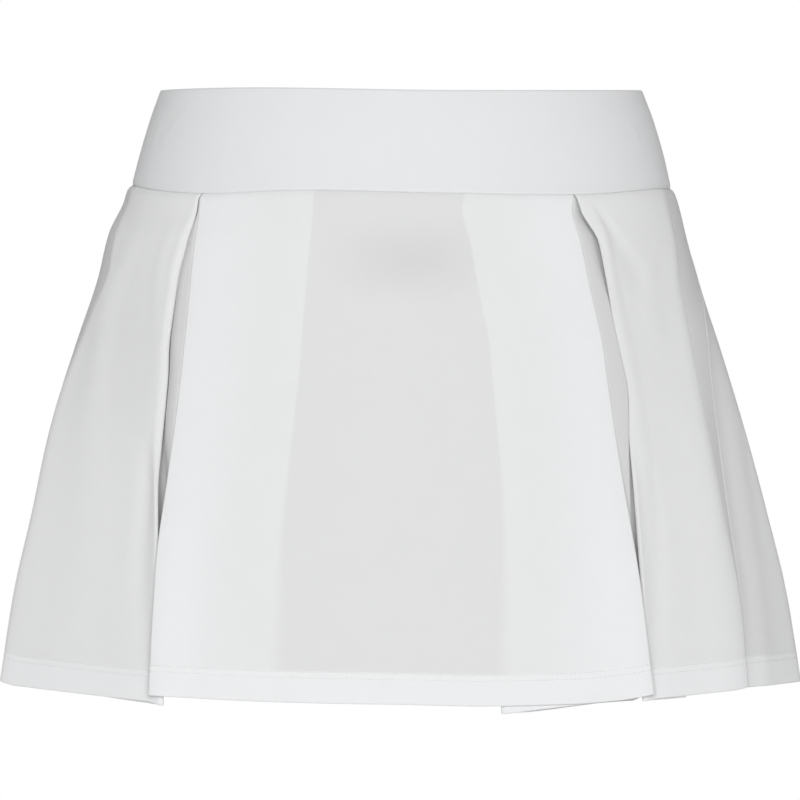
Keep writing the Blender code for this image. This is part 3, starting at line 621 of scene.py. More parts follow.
class Levels:
    """The rows of a skirt piece, and what the pleats measure at each of them.

    Every array has one row for each level, so a whole piece is worked out at once.
    """

    def __init__(self, drop, strength):
        self.drop = drop[:, None]
        self.strength = strength

    def edge(self, name):
        """Angle of one pleat edge."""
        return smooth_value(self.drop, EDGE_DROPS, PLEAT_EDGES[name])

    def return_width(self, name):
        """Width of the return behind an edge."""
        return smooth_value(self.drop, RETURN_DROPS, RETURN_WIDTHS[name])

    def turn(self, name, towards):
        """Angle at which the return behind an edge turns into the underlay."""
        edge = self.edge(name)
        return edge + towards * self.return_width(name) / span_per_degree(edge, self.drop)

    def layer(self, name):
        """One column of the table of layer depths."""
        return table_value(LAYERS, LAYER_COLUMNS, name, self.drop)

    def relief(self, angle, layer):
        """Creases and flutes together, outwards."""
        creases = crease_relief(SKIRT_CREASES, angle, self.drop, layer, self.strength)
        return creases + flute_relief(angle, self.drop)

    def away(self, angle, name):
        """Distance along the cloth from a pleat edge."""
        edge = self.edge(name)
        return np.abs(from_front(angle - edge)) * span_per_degree(edge, self.drop)

    def panel(self, edges):
        """Depth of a panel: its creases, and edges that sink, rise or curl."""
        def depth(angle, layer=PANEL):
            total = -self.relief(angle, layer)
            for name in edges:
                away = self.away(angle, name)
                if name in SINKING_EDGES:
                    total = total + self.layer("sink") * bump(away / SINK_REACH)
                if name in RISING_EDGES:
                    total = total - self.layer("rise") * bump(away / RISE_REACH)
                if name in CURLS:
                    total = total + self.curl(name, away)
            return total
        return depth

    def curl(self, name, away):
        """How far in an edge has curled: part of an ellipse, or of a parabola where its
        roundness is 0."""
        row = table_row(CURLS[name], CURL_COLUMNS, self.drop)
        near = np.clip(1 - away / row["reach"], 0.0, 1.0)
        soft = near ** 2
        square = 1 - np.sqrt(1 - (FULLEST_CURL * near) ** 2)
        return row["depth"] * (soft + (square - soft) * row["roundness"])

    def behind(self, edges):
        """Depth of a return: one layer behind its panel, and deeper beside a thick roll."""
        panel = self.panel(edges)

        def depth(angle):
            total = panel(angle, RETURN) + self.layer("back")
            for name in edges:
                if name in ROLLS:
                    thick = smooth_value(self.drop, *np.array(ROLLS[name]).T)
                    total = total + thick * bump(self.away(angle, name) / ROLL_REACH)
            return total
        return depth

    def underlay(self, first, second):
        """Depth of an underlay between its two turns: behind the returns, and between
        the edges where the pleat is open a mix of that and the opening's own depths."""
        behind = self.layer("back") + self.layer("turn")
        opening = table_row(OPENINGS[first], OPENING_COLUMNS, self.drop)
        sides = [(way, self.turn(name, -way), self.return_width(name) - FLOOR_MARGIN,
                  self.edge(name), opening[side + " from"], opening[side + " to"])
                 for name, side, way in ((first, "first", 1), (second, "second", -1))]

        def depth(angle):
            scale = span_per_degree(angle, self.drop)
            sag, shown, passed = opening["floor"] - behind, 1.0, []
            for way, turn, reach, edge, start, end in sides:
                sag = sag * ease(from_front(way * (angle - turn)) * scale / reach)
                passed.append(from_front(way * (angle - edge)) * scale)
                left = 1 - np.clip((passed[-1] - start) / (end - start), 0.0, 1.0)
                shown = shown * (1 - left ** 2)
            hidden = behind + sag
            share = np.clip(passed[0] / np.maximum(sum(passed), NARROW), 0, 1)
            open_depth = opening["first depth"] * (1 - share) + opening["second depth"] * share
            return hidden + (open_depth - hidden) * shown - self.relief(angle, UNDERLAY)
        return depth

    def backing(self, first, second):
        """Distance inside the part of a panel that has a return behind it, from the
        turn of the nearer return, positive where it is backed."""
        first_turn = self.turn(first, +1)
        second_turn = self.turn(second, -1)

        def distance(angle):
            scale = span_per_degree(angle, self.drop)
            past_turns = from_front(first_turn - angle), from_front(angle - second_turn)
            return np.maximum(*past_turns) * scale
        return distance

    def behind_a_side(self, first, second):
        """The back panel: deep in the side pleats at its edges, with painted shade there, and
        lightly backed elsewhere.
        """
        start, end = self.edge(first), self.edge(second) + FULL_TURN

        def distance(angle):
            away = np.minimum(angle - start, end - angle) * span_per_degree(start, self.drop)
            return np.interp(away, *np.array(SIDE_FADE).T)
        return distance

    def columns(self, piece, start, end):
        """Angles of a stretch's columns: even, or with most of them crowded together."""
        places = np.linspace(0.0, 1.0, piece["columns"] + 1)
        if piece["crowd"] is None:
            return start + (end - start) * places, places
        shares, knots = zip(*piece["crowd"])
        shares = np.array((0.0, *shares, 1.0))
        angles = np.stack([np.interp(places, shares, row)
                           for row in np.hstack((start, *knots, end))])
        return angles, places

    def opening(self, first, second):
        """Where a pleat opens: most columns of its underlay lie there."""
        start, end = self.edge(first), self.edge(second)
        middle = (start + end) / 2
        scale = span_per_degree(middle, self.drop)
        half = np.maximum((end - start) / 2, CROWD_LEAST / scale)
        before, after = half + CROWD_OUTSIDE / scale, half - CROWD_INSIDE / scale
        return ((CROWD_SHARES[0], middle - before), (CROWD_SHARES[1], middle - after),
                (1 - CROWD_SHARES[1], middle + after), (1 - CROWD_SHARES[0], middle + before))

    def return_leg(self, name, towards, edges, columns=SHORT_RETURN_COLUMNS, turned=0.0):
        """The return behind one edge of a panel: away from the edge where the pleat
        follows it, and back to the edge where the pleat comes first."""
        angles = self.edge(name) + turned, self.turn(name, towards) + turned
        way = -towards
        return leg(*angles[::way], self.behind(edges), columns, HEM_DROPS[name][::way])

    def panel_leg(self, edges, columns, backing, crowd=None, turned=0.0):
        """A panel from its first edge to its second."""
        first, second = edges
        return leg(self.edge(first), self.edge(second) + turned, self.panel(edges), columns,
                   (HEM_DROPS[first][0], HEM_DROPS[second][0]), backing, crowd)

    def side_panel(self, edges):
        """A side panel, with closer columns beside both its edges."""
        start, end = (self.edge(name) for name in edges)
        near = start + PANEL_MARGIN / span_per_degree(start, self.drop)
        far = end - PANEL_MARGIN / span_per_degree(end, self.drop)
        return self.panel_leg(edges, PANEL_COLUMNS, evenly(LIGHTLY_BACKED),
                              ((PANEL_SHARE, near), (1 - PANEL_SHARE, far)))

    def pleat(self, first_panel, second_panel, first_columns, second_columns):
        """Return, underlay and return of the pleat between two panels of the front."""
        first, second = first_panel[1], second_panel[0]
        return (
            self.return_leg(first, -1, first_panel, first_columns),
            leg(self.turn(first, -1), self.turn(second, +1), self.underlay(first, second),
                UNDERLAY_COLUMNS, (HEM_DROPS[first][1], HEM_DROPS[second][1]),
                evenly(IN_A_PLEAT), self.opening(first, second), UNDERLAY_LIFT),
            self.return_leg(second, +1, second_panel, second_columns),
        )

    def half_underlay(self, first, second, side, turned=0.0):
        """The half of a side pleat's underlay on one side of its seam."""
        angles = [self.turn(first, -1) + turned,
                  (self.edge(first) + self.edge(second)) / 2 + turned,
                  self.turn(second, +1) + turned]
        hems = [HEM_DROPS[first][1], (HEM_DROPS[first][1] + HEM_DROPS[second][1]) / 2,
                HEM_DROPS[second][1]]
        crowd = [(2 * share, angle + turned) for share, angle in self.opening(first, second)]
        if side > 0:
            angles, hems = angles[1:], hems[1:]
            crowd = [(share - 1, angle) for share, angle in crowd[2:]]
        return leg(*angles[:2], self.underlay(first, second), HALF_UNDERLAY_COLUMNS, hems[:2],
                   evenly(IN_A_PLEAT), crowd[:2])

    def front_legs(self):
        """The skirt's front from its left side seam to its right one."""
        left, centre, right = FRONT_PANELS
        return (
            self.half_underlay("left back", "left side", +1),
            self.return_leg("left side", +1, left),
            self.side_panel(left),
            *self.pleat(left, centre, SHORT_RETURN_COLUMNS, LONG_RETURN_COLUMNS),
            self.panel_leg(centre, CENTRE_COLUMNS, self.backing(*centre)),
            *self.pleat(centre, right, LONG_RETURN_COLUMNS, SHORT_RETURN_COLUMNS),
            self.side_panel(right),
            self.return_leg("right side", -1, right),
            self.half_underlay("right side", "right back", -1),
        )

    def back_legs(self):
        """The skirt's back from its right side seam round to its left one."""
        return (
            self.half_underlay("right side", "right back", +1),
            self.return_leg("right back", +1, BACK_PANEL),
            self.panel_leg(BACK_PANEL, BACK_COLUMNS, self.behind_a_side(*BACK_PANEL),
                           turned=FULL_TURN),
            self.return_leg("left back", -1, BACK_PANEL, turned=FULL_TURN),
            self.half_underlay("left back", "left side", -1, FULL_TURN),
        )

    def fold(self, before, after):
        """The round fold between two legs: half an ellipse between their depths, with
        its tip at the angle where they meet."""
        tip = before["end"]
        way = np.sign(before["end"] - before["start"])
        half_thick = np.abs(after["depth"](tip) - before["depth"](tip)) / 2
        centre = tip - way * FOLD_LENGTH * half_thick / span_per_degree(tip, self.drop)
        start_depth, end_depth = before["depth"](centre), after["depth"](centre)
        around = np.linspace(0.0, np.pi, FOLD_COLUMNS + 1)
        angles = centre + (tip - centre) * np.sin(around)
        depths = (start_depth + end_depth) / 2 + (start_depth - end_depth) / 2 * np.cos(around)
        start_back, end_back = before["backing"](centre), after["backing"](centre)
        backs = start_back + (end_back - start_back) * (around > np.pi * FOLD_LIT_SHARE)
        return angles, depths, np.full(len(around), before["hem"][1]), backs

    def path(self, legs, bow):
        """Angles, depths, hem drops and backing of all the columns at every level."""
        folds = [self.fold(legs[i], legs[i + 1]) for i in range(len(legs) - 1)]
        columns = []
        for number, piece in enumerate(legs):
            start = folds[number - 1][0][:, -1:] if number else piece["start"]
            end = folds[number][0][:, :1] if number < len(folds) else piece["end"]
            angles, places = self.columns(piece, start, end)
            hems = piece["hem"][0] + (piece["hem"][1] - piece["hem"][0]) * places
            ends = np.minimum(places, 1 - places)
            hems = hems - piece["lift"] * ease(ends / LIFT_SHARE)
            if number == len(legs) // 2:
                hems = hems + bow(places)
            columns.append((angles, piece["depth"](angles), hems, piece["backing"](angles)))
            if number < len(folds):
                columns.append(tuple(values[..., 1:-1] for values in folds[number]))
        return [np.concatenate(values, axis=-1) for values in zip(*columns)]


def centre_bow(places):
    """How much lower the centre panel's hem hangs between its edges."""
    return smooth_value(places, CENTRE_BOW_PLACES, CENTRE_BOW_DROPS)


def back_bow(places):
    """How much lower the back panel's hem hangs at its middle."""
    return BACK_HEM_BOW * np.sin(np.pi * places)


# -------- grids of points
def hem_measures(sizes):
    """Cloth wall, raw edge, upper and lower stitch row in millimetres."""
    return [size / MM for size in (sizes.cloth_wall, sizes.hem_height, sizes.upper_row,
                                   sizes.lower_row)]


def skirt_heights(sizes):
    """Heights of the rows above the hem's edge: even steps, but close together round
    the edge, at the stitch rows, at the hem's raw edge and where the seam rolls in."""
    wall, raw, upper, lower = hem_measures(sizes)
    edge = wall * (1 - np.cos(np.linspace(*HEM_EDGE)))
    hem = np.concatenate((edge, HEM_LEVELS, lower + STITCH_LEVELS, ((upper + lower) / 2,),
                          upper + STITCH_LEVELS[:3], [raw + level for level in RAW_LEVELS]))
    roll = np.linspace(0.0, np.pi / 2, SEAM_LEVELS)
    top = CLOTH_HEIGHT - SEAM_REACH * (1 - np.sin(roll))
    count = int((top[0] - hem[-1]) / LEVEL_STEP)
    plain = np.linspace(hem[-1], top[0], count + 1)
    return np.concatenate((hem[:-1], plain, top[1:]))[::-1]


def wall_offsets(sizes, height):
    """Where the face and the reverse of the cloth lie, from the middle of its outer
    layer: half a wall to each side, a second layer behind it up to the hem's raw edge,
    a round hem edge, and a low ridge drawn up between the two stitch rows."""
    wall, raw, upper, lower = hem_measures(sizes)
    doubled = 1 - ease((height - raw) / RAW_STEP)
    middle = -wall / 2 * doubled
    half = wall / 2 * (1 + doubled)
    rounding = round_edge(height / wall)
    ridge = RIDGE[0] * bump((height - (upper + lower) / 2) / RIDGE[1])
    dents = DENT[0] * (bump((height - upper) / DENT[1]) + bump((height - lower) / DENT[1]))
    return middle + half * rounding + ridge - dents, middle - half * rounding


def round_edge(near):
    """A quarter circle: 0 at an edge, 1 from a distance of 1."""
    return np.sqrt(1 - (1 - np.clip(near, 0.0, 1.0)) ** 2)


def cut_points(x, y, height):
    """Cut coordinates: the way along the cloth from the middle column, and the height."""
    steps = np.hypot(np.diff(x, axis=1), np.diff(y, axis=1))
    along = np.concatenate((np.zeros((len(x), 1)), np.cumsum(steps, axis=1)), axis=1)
    along = along - along[:, x.shape[1] // 2][:, None]
    return np.stack((along, np.broadcast_to(height[:, None], x.shape)), axis=2)


def skirt_grid(sizes, legs_of, bow):
    """Face and reverse of a skirt piece, with its cut coordinates and its backing."""
    height = skirt_heights(sizes)
    drop = SKIRT_LENGTH - height
    levels = Levels(drop, sizes.crease_depth)
    angles, depths, hems, backing = levels.path(legs_of(levels), bow)
    rolled_in = SEAM_ROLL * (1 - round_edge((CLOTH_HEIGHT - height) / SEAM_REACH))
    inset = depths + sizes.cloth_wall / MM / 2 + rolled_in[:, None]
    inset = inset + flat_inset(angles, drop[:, None])
    x, y = ring_point(SKIRT_OUTLINE, angles, drop[:, None], inset)
    fall = (drop[:, None] - SEAM_DROP) / CLOTH_HEIGHT
    top = seam_drop(angles)
    z = -(top + (hems - top) * fall)
    across, along = np.gradient(x, axis=1), np.gradient(y, axis=1)
    length = np.hypot(across, along)
    out_x, out_y = along / length, -across / length
    face, reverse = (np.stack((x + out_x * side[:, None], y + out_y * side[:, None], z), axis=2)
                     for side in wall_offsets(sizes, height))
    return {"face": face, "reverse": reverse, "cut": cut_points(x, y, height),
            "backing": backing, "heights": height}


def band_grid(sizes, start, end):
    """Face and reverse of half of the waistband. Its top edge is the round fold of the
    doubled knit, its lower edge rolls in to the seam, and its ends roll in to the side
    seams."""
    wall = sizes.band_wall / MM
    radius = wall / 2
    fold = radius * (1 - np.cos(np.linspace(*BAND_EDGE)))
    roll = np.sin(np.linspace(0.0, np.pi / 2, BAND_SEAM_LEVELS))
    roll = SEAM_DROP - SEAM_REACH * (1 - roll)
    level = np.concatenate((fold[:-1], np.linspace(fold[-1], roll[0], BAND_PLAIN_LEVELS), roll[1:]))
    angles = start + (end - start) * np.linspace(0.0, 1.0, BAND_COLUMNS + 1)
    folded = radius * (1 - round_edge(level / radius))
    rolled = np.clip((level - roll[0]) / SEAM_REACH, 0.0, 1.0)
    rolled = SEAM_ROLL * BAND_ROLL * (1 - np.sqrt(1 - rolled ** 2))
    ends = np.minimum(angles - start, end - angles) * span_per_degree(90.0, SEAM_DROP)
    groove = SIDE_GROOVE[0] * bump(ends / SIDE_GROOVE[1])
    relief = crease_relief(BAND_CREASES, angles[None, :], level[:, None], PANEL,
                           sizes.crease_depth)
    share = (level / SEAM_DROP)[:, None]
    z = edge_rise(angles) * (1 - share) - seam_drop(angles) * share
    outer = (folded + rolled)[:, None] + groove - relief
    inner = wall - folded[:, None] + 0 * angles
    sides = []
    for depth in (outer, inner):
        x, y = ring_point(BAND_OUTLINE, angles, level[:, None], depth)
        sides.append(np.stack((x, y, z), axis=2))
    return {"face": sides[0], "reverse": sides[1],
            "cut": cut_points(sides[0][..., 0], sides[0][..., 1], SEAM_DROP - level),
            "backing": np.full(z.shape, -NOT_BACKED)}


# -------- meshes
def quads_of(corners):
    """Quads from four equal grids of corner numbers."""
    return np.stack([np.ravel(corner) for corner in corners], axis=1)


def wall_quads(rows, columns):
    """Quads of a closed wall: its face, its reverse and the four rims."""
    face = np.arange(rows * columns).reshape(rows, columns)
    back = face + rows * columns
    return np.concatenate((
        quads_of((face[:-1, :-1], face[1:, :-1], face[1:, 1:], face[:-1, 1:])),
        quads_of((back[:-1, :-1], back[:-1, 1:], back[1:, 1:], back[1:, :-1])),
        quads_of((face[0, :-1], face[0, 1:], back[0, 1:], back[0, :-1])),
        quads_of((face[-1, :-1], back[-1, :-1], back[-1, 1:], face[-1, 1:])),
        quads_of((face[:-1, 0], back[:-1, 0], back[1:, 0], face[1:, 0])),
        quads_of((face[:-1, -1], face[1:, -1], back[1:, -1], back[:-1, -1])),
    ))


def new_piece(name, points, quads, material, cut=None, backing=None):
    """A mesh object at the origin, with its cut coordinates as a UV map and its backing
    as an attribute of its points."""
    mesh = bpy.data.meshes.new(name)
    mesh.from_pydata((points * MM).tolist(), [], quads.tolist())
    if cut is not None:
        corners = np.empty(len(mesh.loops), dtype=np.int32)
        mesh.loops.foreach_get("vertex_index", corners)
        layer = mesh.uv_layers.new(name="cut")
        layer.data.foreach_set("uv", (cut[corners] * MM).astype(np.float32).ravel())
    if backing is not None:
        layer = mesh.attributes.new("backing", "FLOAT", "POINT")
        layer.data.foreach_set("value", backing.astype(np.float32))
    mesh.shade_smooth()
    mesh.materials.append(material)
    piece = bpy.data.objects.new(name, mesh)
    bpy.context.scene.collection.objects.link(piece)
    return piece


def wall_piece(name, grid, material):
    """A cut piece of cloth as a closed wall between its two grids."""
    face, reverse = grid["face"], grid["reverse"]
    rows, columns = face.shape[:2]
    points = np.concatenate((face.reshape(-1, 3), reverse.reshape(-1, 3)))
    cut = np.tile(grid["cut"].reshape(-1, 2), (2, 1))
    backing = np.tile(grid["backing"].reshape(-1), 2)
    piece = new_piece(name, points, wall_quads(rows, columns), material, cut, backing)
    piece.data.set_sharp_from_angle(angle=SMOOTH_BEND)
    return piece


def stitch_template():
    """One stitch from -1 to 1 along its length: rings round a thread that swells in the
    middle and dives into the cloth at its ends."""
    along = np.linspace(-1.0, 1.0, STITCH_RINGS)
    around = np.linspace(0.0, 2 * np.pi, STITCH_SIDES, endpoint=False)
    end_size, dive, flatness = STITCH_SHAPE
    radius = end_size + (1 - end_size) * np.sqrt(np.clip(1 - along ** 4, 0.0, 1.0))
    lift = end_size - dive * along ** 4
    side = radius[:, None] * np.cos(around)
    out = radius[:, None] * np.sin(around) * flatness + lift[:, None]
    points = np.stack((np.broadcast_to(along[:, None], side.shape), side, out), axis=2)
    number = np.arange(side.size).reshape(side.shape)
    after = np.roll(number, -1, axis=1)
    quads = quads_of((number[:-1], number[1:], after[1:], after[:-1]))
    caps = np.concatenate([end[np.array(STITCH_CAP)] for end in (number[0], number[-1][::-1])])
    return points.reshape(-1, 3), np.concatenate((quads, caps))


def stitch_rows(sizes, grid, seed):
    """All the hem stitches of a piece: the template carried to even steps along the
    cloth at the height of each row, laid along the cloth and out from its face."""
    draw = np.random.default_rng(seed)
    template, quads = stitch_template()
    points, faces = [], []
    pitch = sizes.pitch / MM
    thickness = sizes.thread / MM / 2
    for height in (sizes.upper_row / MM, sizes.lower_row / MM):
        row = int(np.argmin(np.abs(grid["heights"] - height)))
        face, reverse = grid["face"][row], grid["reverse"][row]
        along = grid["cut"][row, :, 0]
        count = int((along[-1] - along[0] - 2 * STITCH_MARGIN) / pitch)
        middle = along[0] + STITCH_MARGIN + pitch * (np.arange(count) + 0.5)
        middle = middle + draw.uniform(-STITCH_SHIFT, STITCH_SHIFT, count)
        half = pitch * draw.uniform(*STITCH_HALF, count)
        tilt = draw.uniform(-STITCH_TILT, STITCH_TILT, count)

        def at(place, grid_points):
            return np.stack([np.interp(place, along, grid_points[:, k]) for k in range(3)], axis=1)

        start, end = at(middle - half, face), at(middle + half, face)
        centre = (start + end) / 2
        outward = at(middle, face) - at(middle, reverse)
        forward = end - start
        half_length = np.linalg.norm(forward, axis=1, keepdims=True) / 2
        forward = forward / (2 * half_length)
        outward = outward - forward * np.sum(outward * forward, axis=1, keepdims=True)
        outward = outward / np.linalg.norm(outward, axis=1, keepdims=True)
        upward = np.cross(outward, forward)
        forward = forward + upward * tilt[:, None]
        placed = (centre[:, None]
                  + template[None, :, :1] * (forward * half_length)[:, None]
                  + template[None, :, 1:2] * thickness * upward[:, None]
                  + template[None, :, 2:] * thickness * outward[:, None])
        offset = sum(len(block) for block in points)
        points.append(placed.reshape(-1, 3))
        starts = offset + np.arange(count)[:, None, None] * len(template)
        faces.append((quads[None] + starts).reshape(-1, 4))
    return np.concatenate(points), np.concatenate(faces)


# -------- materials
# Lengths in metres, as the shader sees them.
KNIT_SHADER = {"Specular_IOR_Level": 0.25, "Sheen_Weight": 0.05, "Sheen_Roughness": 0.5}
WALE = 0.00044          # width of one wale of the knit
COURSE = 0.00036        # height of one course
LOOP_SLANT = 2.4
LOOP_DEPTH = 0.3        # share of a wale's height that its courses cut into it
FINE_SCALE = 900.0      # of the cloth's finest unevenness
FINE_SHARE = 0.03       # how much that changes its tone
BLOTCH_SHARE = 0.02     # how much broad blotches change its tone
BLOTCH_ROUGHNESS = 0.08             # and its roughness
SKIRT_BLOTCHES, BAND_BLOTCHES = 70.0, 60.0      # scales of the blotches
SKIRT_WAVES, BAND_WAVES = 28.0, 24.0            # and of soft waves in the surface
# strength and height of each bump
SKIRT_LOOP_BUMP, SKIRT_WAVE_BUMP = (0.35, 0.00008), (0.5, 0.0006)
BAND_LOOP_BUMP, BAND_WAVE_BUMP = (0.3, 0.00007), (0.4, 0.0005)
DIP_BUMP = (1.0, 0.00022)
DIP_REACH = 0.0006      # of the needle's dips, from their row
# painted shade in the needle's dips along the stitch rows
DIP_SHADE = 0.02
RAW_EDGE = (-0.0004, 0.0002)        # where the hem's second layer fades, from its raw edge
HEM_FOLD_SHADE = (0.0010, 0.09)            # height of the painted shade along the hem's folded bottom edge, and its strength
SEAM_SHADE = (0.006, 0.02)           # height of the painted shade above the band's seam, and its strength
BACKED_BLUR = (1.6, 11.0, 0.16)     # how softly a backed part begins: high up, how much
                                    # more at the hem, and up to which height
BACKED_LEAST = 0.56     # how much of the backing narrow returns give
BACKED_FULLY = (15.0, 60.0)         # where it grows to all of it
BACKED_HEM = 0.01       # a third layer at the hem
# painted shade on cloth deep in a pleat and along the back panel's edges
PLEAT_SHADE = 0.06
CLOUD_X = (0.006, 0.060)            # middle and reach of the faint shape that shows
CLOUD_Z = (-0.094, 0.030)           # through the single layer below the seam
CLOUD_Y = (-0.08, -0.06)            # at the front only
CLOUD_SHADE = 0.075
THREAD_DARK = 0.93      # the darker fibres of the thread
FLOOR_TONES = ((0.80, 0.80, 0.80, 1.0), (0.84, 0.84, 0.84, 1.0))


def maths(operation, *constants):
    """A method that feeds a wire, these constants and its own values to a maths node."""
    def method(wire, *values):
        return wire.maker.node("ShaderNodeMath", {"operation": operation},
                               dict(enumerate((wire, *constants, *values))))
    return method


class Wire:
    """A value in a material: the output of one of its nodes."""
    __add__ = __radd__ = maths("ADD")
    __sub__ = maths("SUBTRACT")
    __rsub__ = maths("MULTIPLY_ADD", -1.0)
    __mul__ = __rmul__ = maths("MULTIPLY")
    __truediv__ = maths("DIVIDE")
    __neg__ = maths("MULTIPLY", -1.0)
    __abs__ = maths("ABSOLUTE")
    sine = maths("SINE")
    power = maths("POWER")
    most = maths("MAXIMUM")

    def __init__(self, maker, socket):
        self.maker = maker
        self.socket = socket

    def smooth(self, low, high):
        """0 below low, 1 above high and a smooth rise between."""
        return self.maker.node("ShaderNodeMapRange", {"interpolation_type": "SMOOTHSTEP"},
                               {"Value": self, "From Min": low, "From Max": high})

    def near(self, place, reach):
        """1 at the place, falling smoothly to 0 at its reach on both sides."""
        return 1 - abs(self - place).smooth(0.0, reach)


class MaterialMaker:
    """Builds one material: its nodes, and the constants of its Principled shader."""

    def __init__(self, name, **constants):
        self.material = bpy.data.materials.new(name)
        self.material.use_nodes = True
        self.tree = self.material.node_tree
        self.shader = self.tree.nodes["Principled BSDF"]
        for socket, value in constants.items():
            self.shader.inputs[socket.replace("_", " ")].default_value = value

    def node(self, kind, settings=None, sockets=None, output=0):
        """A node of this kind with its settings, then its sockets set or linked."""
        node = self.tree.nodes.new(kind)
        for name, value in (settings or {}).items():
            setattr(node, name, value)
        for name, value in (sockets or {}).items():
            if isinstance(value, Wire):
                self.tree.links.new(value.socket, node.inputs[name])
            else:
                node.inputs[name].default_value = value
        return Wire(self, node.outputs[output])

    def parts(self, vector):
        """X, Y and Z of a vector."""
        node = self.node("ShaderNodeSeparateXYZ", None, {"Vector": vector}, "X").socket.node
        return [Wire(self, node.outputs[axis]) for axis in "XYZ"]

    def place(self):
        """Where a point lies on its object."""
        return self.node("ShaderNodeTexCoord", None, None, "Object")

    def cut_place(self):
        """The way along the cut piece and the height on it, in metres."""
        return self.parts(self.node("ShaderNodeUVMap", {"uv_map": "cut"}))[:2]

    def mix(self, factor, first, second, blend="MIX"):
        """One colour turning into another, or multiplied by it."""
        return self.node("ShaderNodeMix", {"data_type": "RGBA", "blend_type": blend},
                         {0: factor, 6: first, 7: second}, 2)

    def toned(self, colour, tone):
        """A colour multiplied by a tone."""
        grey = self.node("ShaderNodeCombineColor", None, {0: tone, 1: tone, 2: tone})
        return self.mix(1.0, colour, grey, "MULTIPLY")

    def bump(self, height, strength, distance, normal=None):
        """The normal of a surface raised by this height, on top of another one."""
        sockets = {"Height": height, "Strength": strength, "Distance": distance}
        if normal is not None:
            sockets["Normal"] = normal
        return self.node("ShaderNodeBump", None, sockets)

    def noise(self, vector, scale, detail):
        """A smooth random value between 0 and 1 at a place."""
        return self.node("ShaderNodeTexNoise", None,
                         {"Vector": vector, "Scale": scale, "Detail": detail})

    def feed(self, socket, wire):
        """Links a wire to the shader."""
        self.tree.links.new(wire.socket, self.shader.inputs[socket])


def opaque(colour):
    """The colour with a full alpha."""
    return (*colour, 1.0)


def uneven(noise, share):
    """A factor that varies by this share round 1."""
    return noise * share + (1 - share / 2)


def knit_loops(across, up):
    """Height of a fine knit: ribs of wales, each broken into slanting loops by its
    courses."""
    wale = abs((across * (math.pi / WALE)).sine())
    loop = (up * (2 * math.pi / COURSE) + wale * LOOP_SLANT).sine()
    return wale * (loop * LOOP_DEPTH + (1 - LOOP_DEPTH))


def knit_material(sizes, colours):
    """The skirt's white knit: lighter where a second layer lies behind it, with painted shade deep
    in the pleats and along the hem's folded edge, and the dips of the needle along the hem's two
    stitch rows, bumped and with painted shade."""
    maker = MaterialMaker("skirt knit", Roughness=0.9, Diffuse_Roughness=0.4, **KNIT_SHADER)
    across, up = maker.cut_place()
    place = maker.place()
    x, y, z = maker.parts(place)

    inside = maker.node("ShaderNodeAttribute", {"attribute_name": "backing"}, None, "Fac")
    crisp, softer, low = BACKED_BLUR
    blur = crisp + (1 - up.smooth(0.0, low)) * softer
    backed = (inside / blur + 0.5).smooth(0.0, 1.0)
    backed = backed * (inside.smooth(*BACKED_FULLY) * (1 - BACKED_LEAST) + BACKED_LEAST)
    # painted shade where the cloth lies deep in a pleat
    pleat_shade_mask = 1 - inside.smooth(IN_A_PLEAT, NOT_BACKED)
    hem = 1 - up.smooth(*(sizes.hem_height + step for step in RAW_EDGE))
    layered = backed.most(hem)

    cloud = x.near(*CLOUD_X) * z.near(*CLOUD_Z) * (1 - y.smooth(*CLOUD_Y))
    cloth = maker.mix(layered, opaque(colours.cloth), opaque(colours.backed))
    tone = 1 - cloud * (1 - layered) * CLOUD_SHADE + backed * hem * BACKED_HEM
    tone = tone - pleat_shade_mask * PLEAT_SHADE
    # painted shade along the hem's folded bottom edge
    tone = tone * (1 - (1 - up.smooth(0.0, HEM_FOLD_SHADE[0])) * HEM_FOLD_SHADE[1])
    blotch = maker.noise(place, SKIRT_BLOTCHES, 3.0)
    fine = maker.noise(place, FINE_SCALE, 2.0)
    tone = tone * uneven(blotch, BLOTCH_SHARE) * uneven(fine, FINE_SHARE)

    rhythm = ((across * (2 * math.pi / sizes.pitch)).sine() * 0.5 + 0.5).power(3.0)
    rows = up.near(sizes.upper_row, DIP_REACH) + up.near(sizes.lower_row, DIP_REACH)
    # painted shade in the needle's dips
    tone = tone * (1 - rows * rhythm * DIP_SHADE)
    maker.feed("Base Color", maker.toned(cloth, tone))
    maker.feed("Roughness", blotch * BLOTCH_ROUGHNESS + 0.86)

    normal = maker.bump(knit_loops(across, up), *SKIRT_LOOP_BUMP)
    normal = maker.bump(maker.noise(place, SKIRT_WAVES, 2.0), *SKIRT_WAVE_BUMP, normal)
    maker.feed("Normal", maker.bump(-(rows * rhythm), *DIP_BUMP, normal))
    return maker.material


def band_material(colours):
    """The waistband's smoother doubled knit, with painted shade just above its seam."""
    maker = MaterialMaker("band knit", Roughness=0.85, Diffuse_Roughness=0.34, **KNIT_SHADER)
    across, up = maker.cut_place()
    place = maker.place()
    blotch = maker.noise(place, BAND_BLOTCHES, 3.0)
    fine = maker.noise(place, FINE_SCALE, 2.0)
    # painted shade just above the seam under the band
    seam_shade_mask = 1 - up.smooth(0.0, SEAM_SHADE[0])
    tone = uneven(blotch, BLOTCH_SHARE) * uneven(fine, FINE_SHARE) * (1 - seam_shade_mask * SEAM_SHADE[1])
    maker.feed("Base Color", maker.toned(opaque(colours.band), tone))
    maker.feed("Roughness", blotch * BLOTCH_ROUGHNESS + 0.8)
    normal = maker.bump(knit_loops(across, up), *BAND_LOOP_BUMP)
    normal = maker.bump(maker.noise(place, BAND_WAVES, 2.0), *BAND_WAVE_BUMP, normal)
    maker.feed("Normal", normal)
    return maker.material


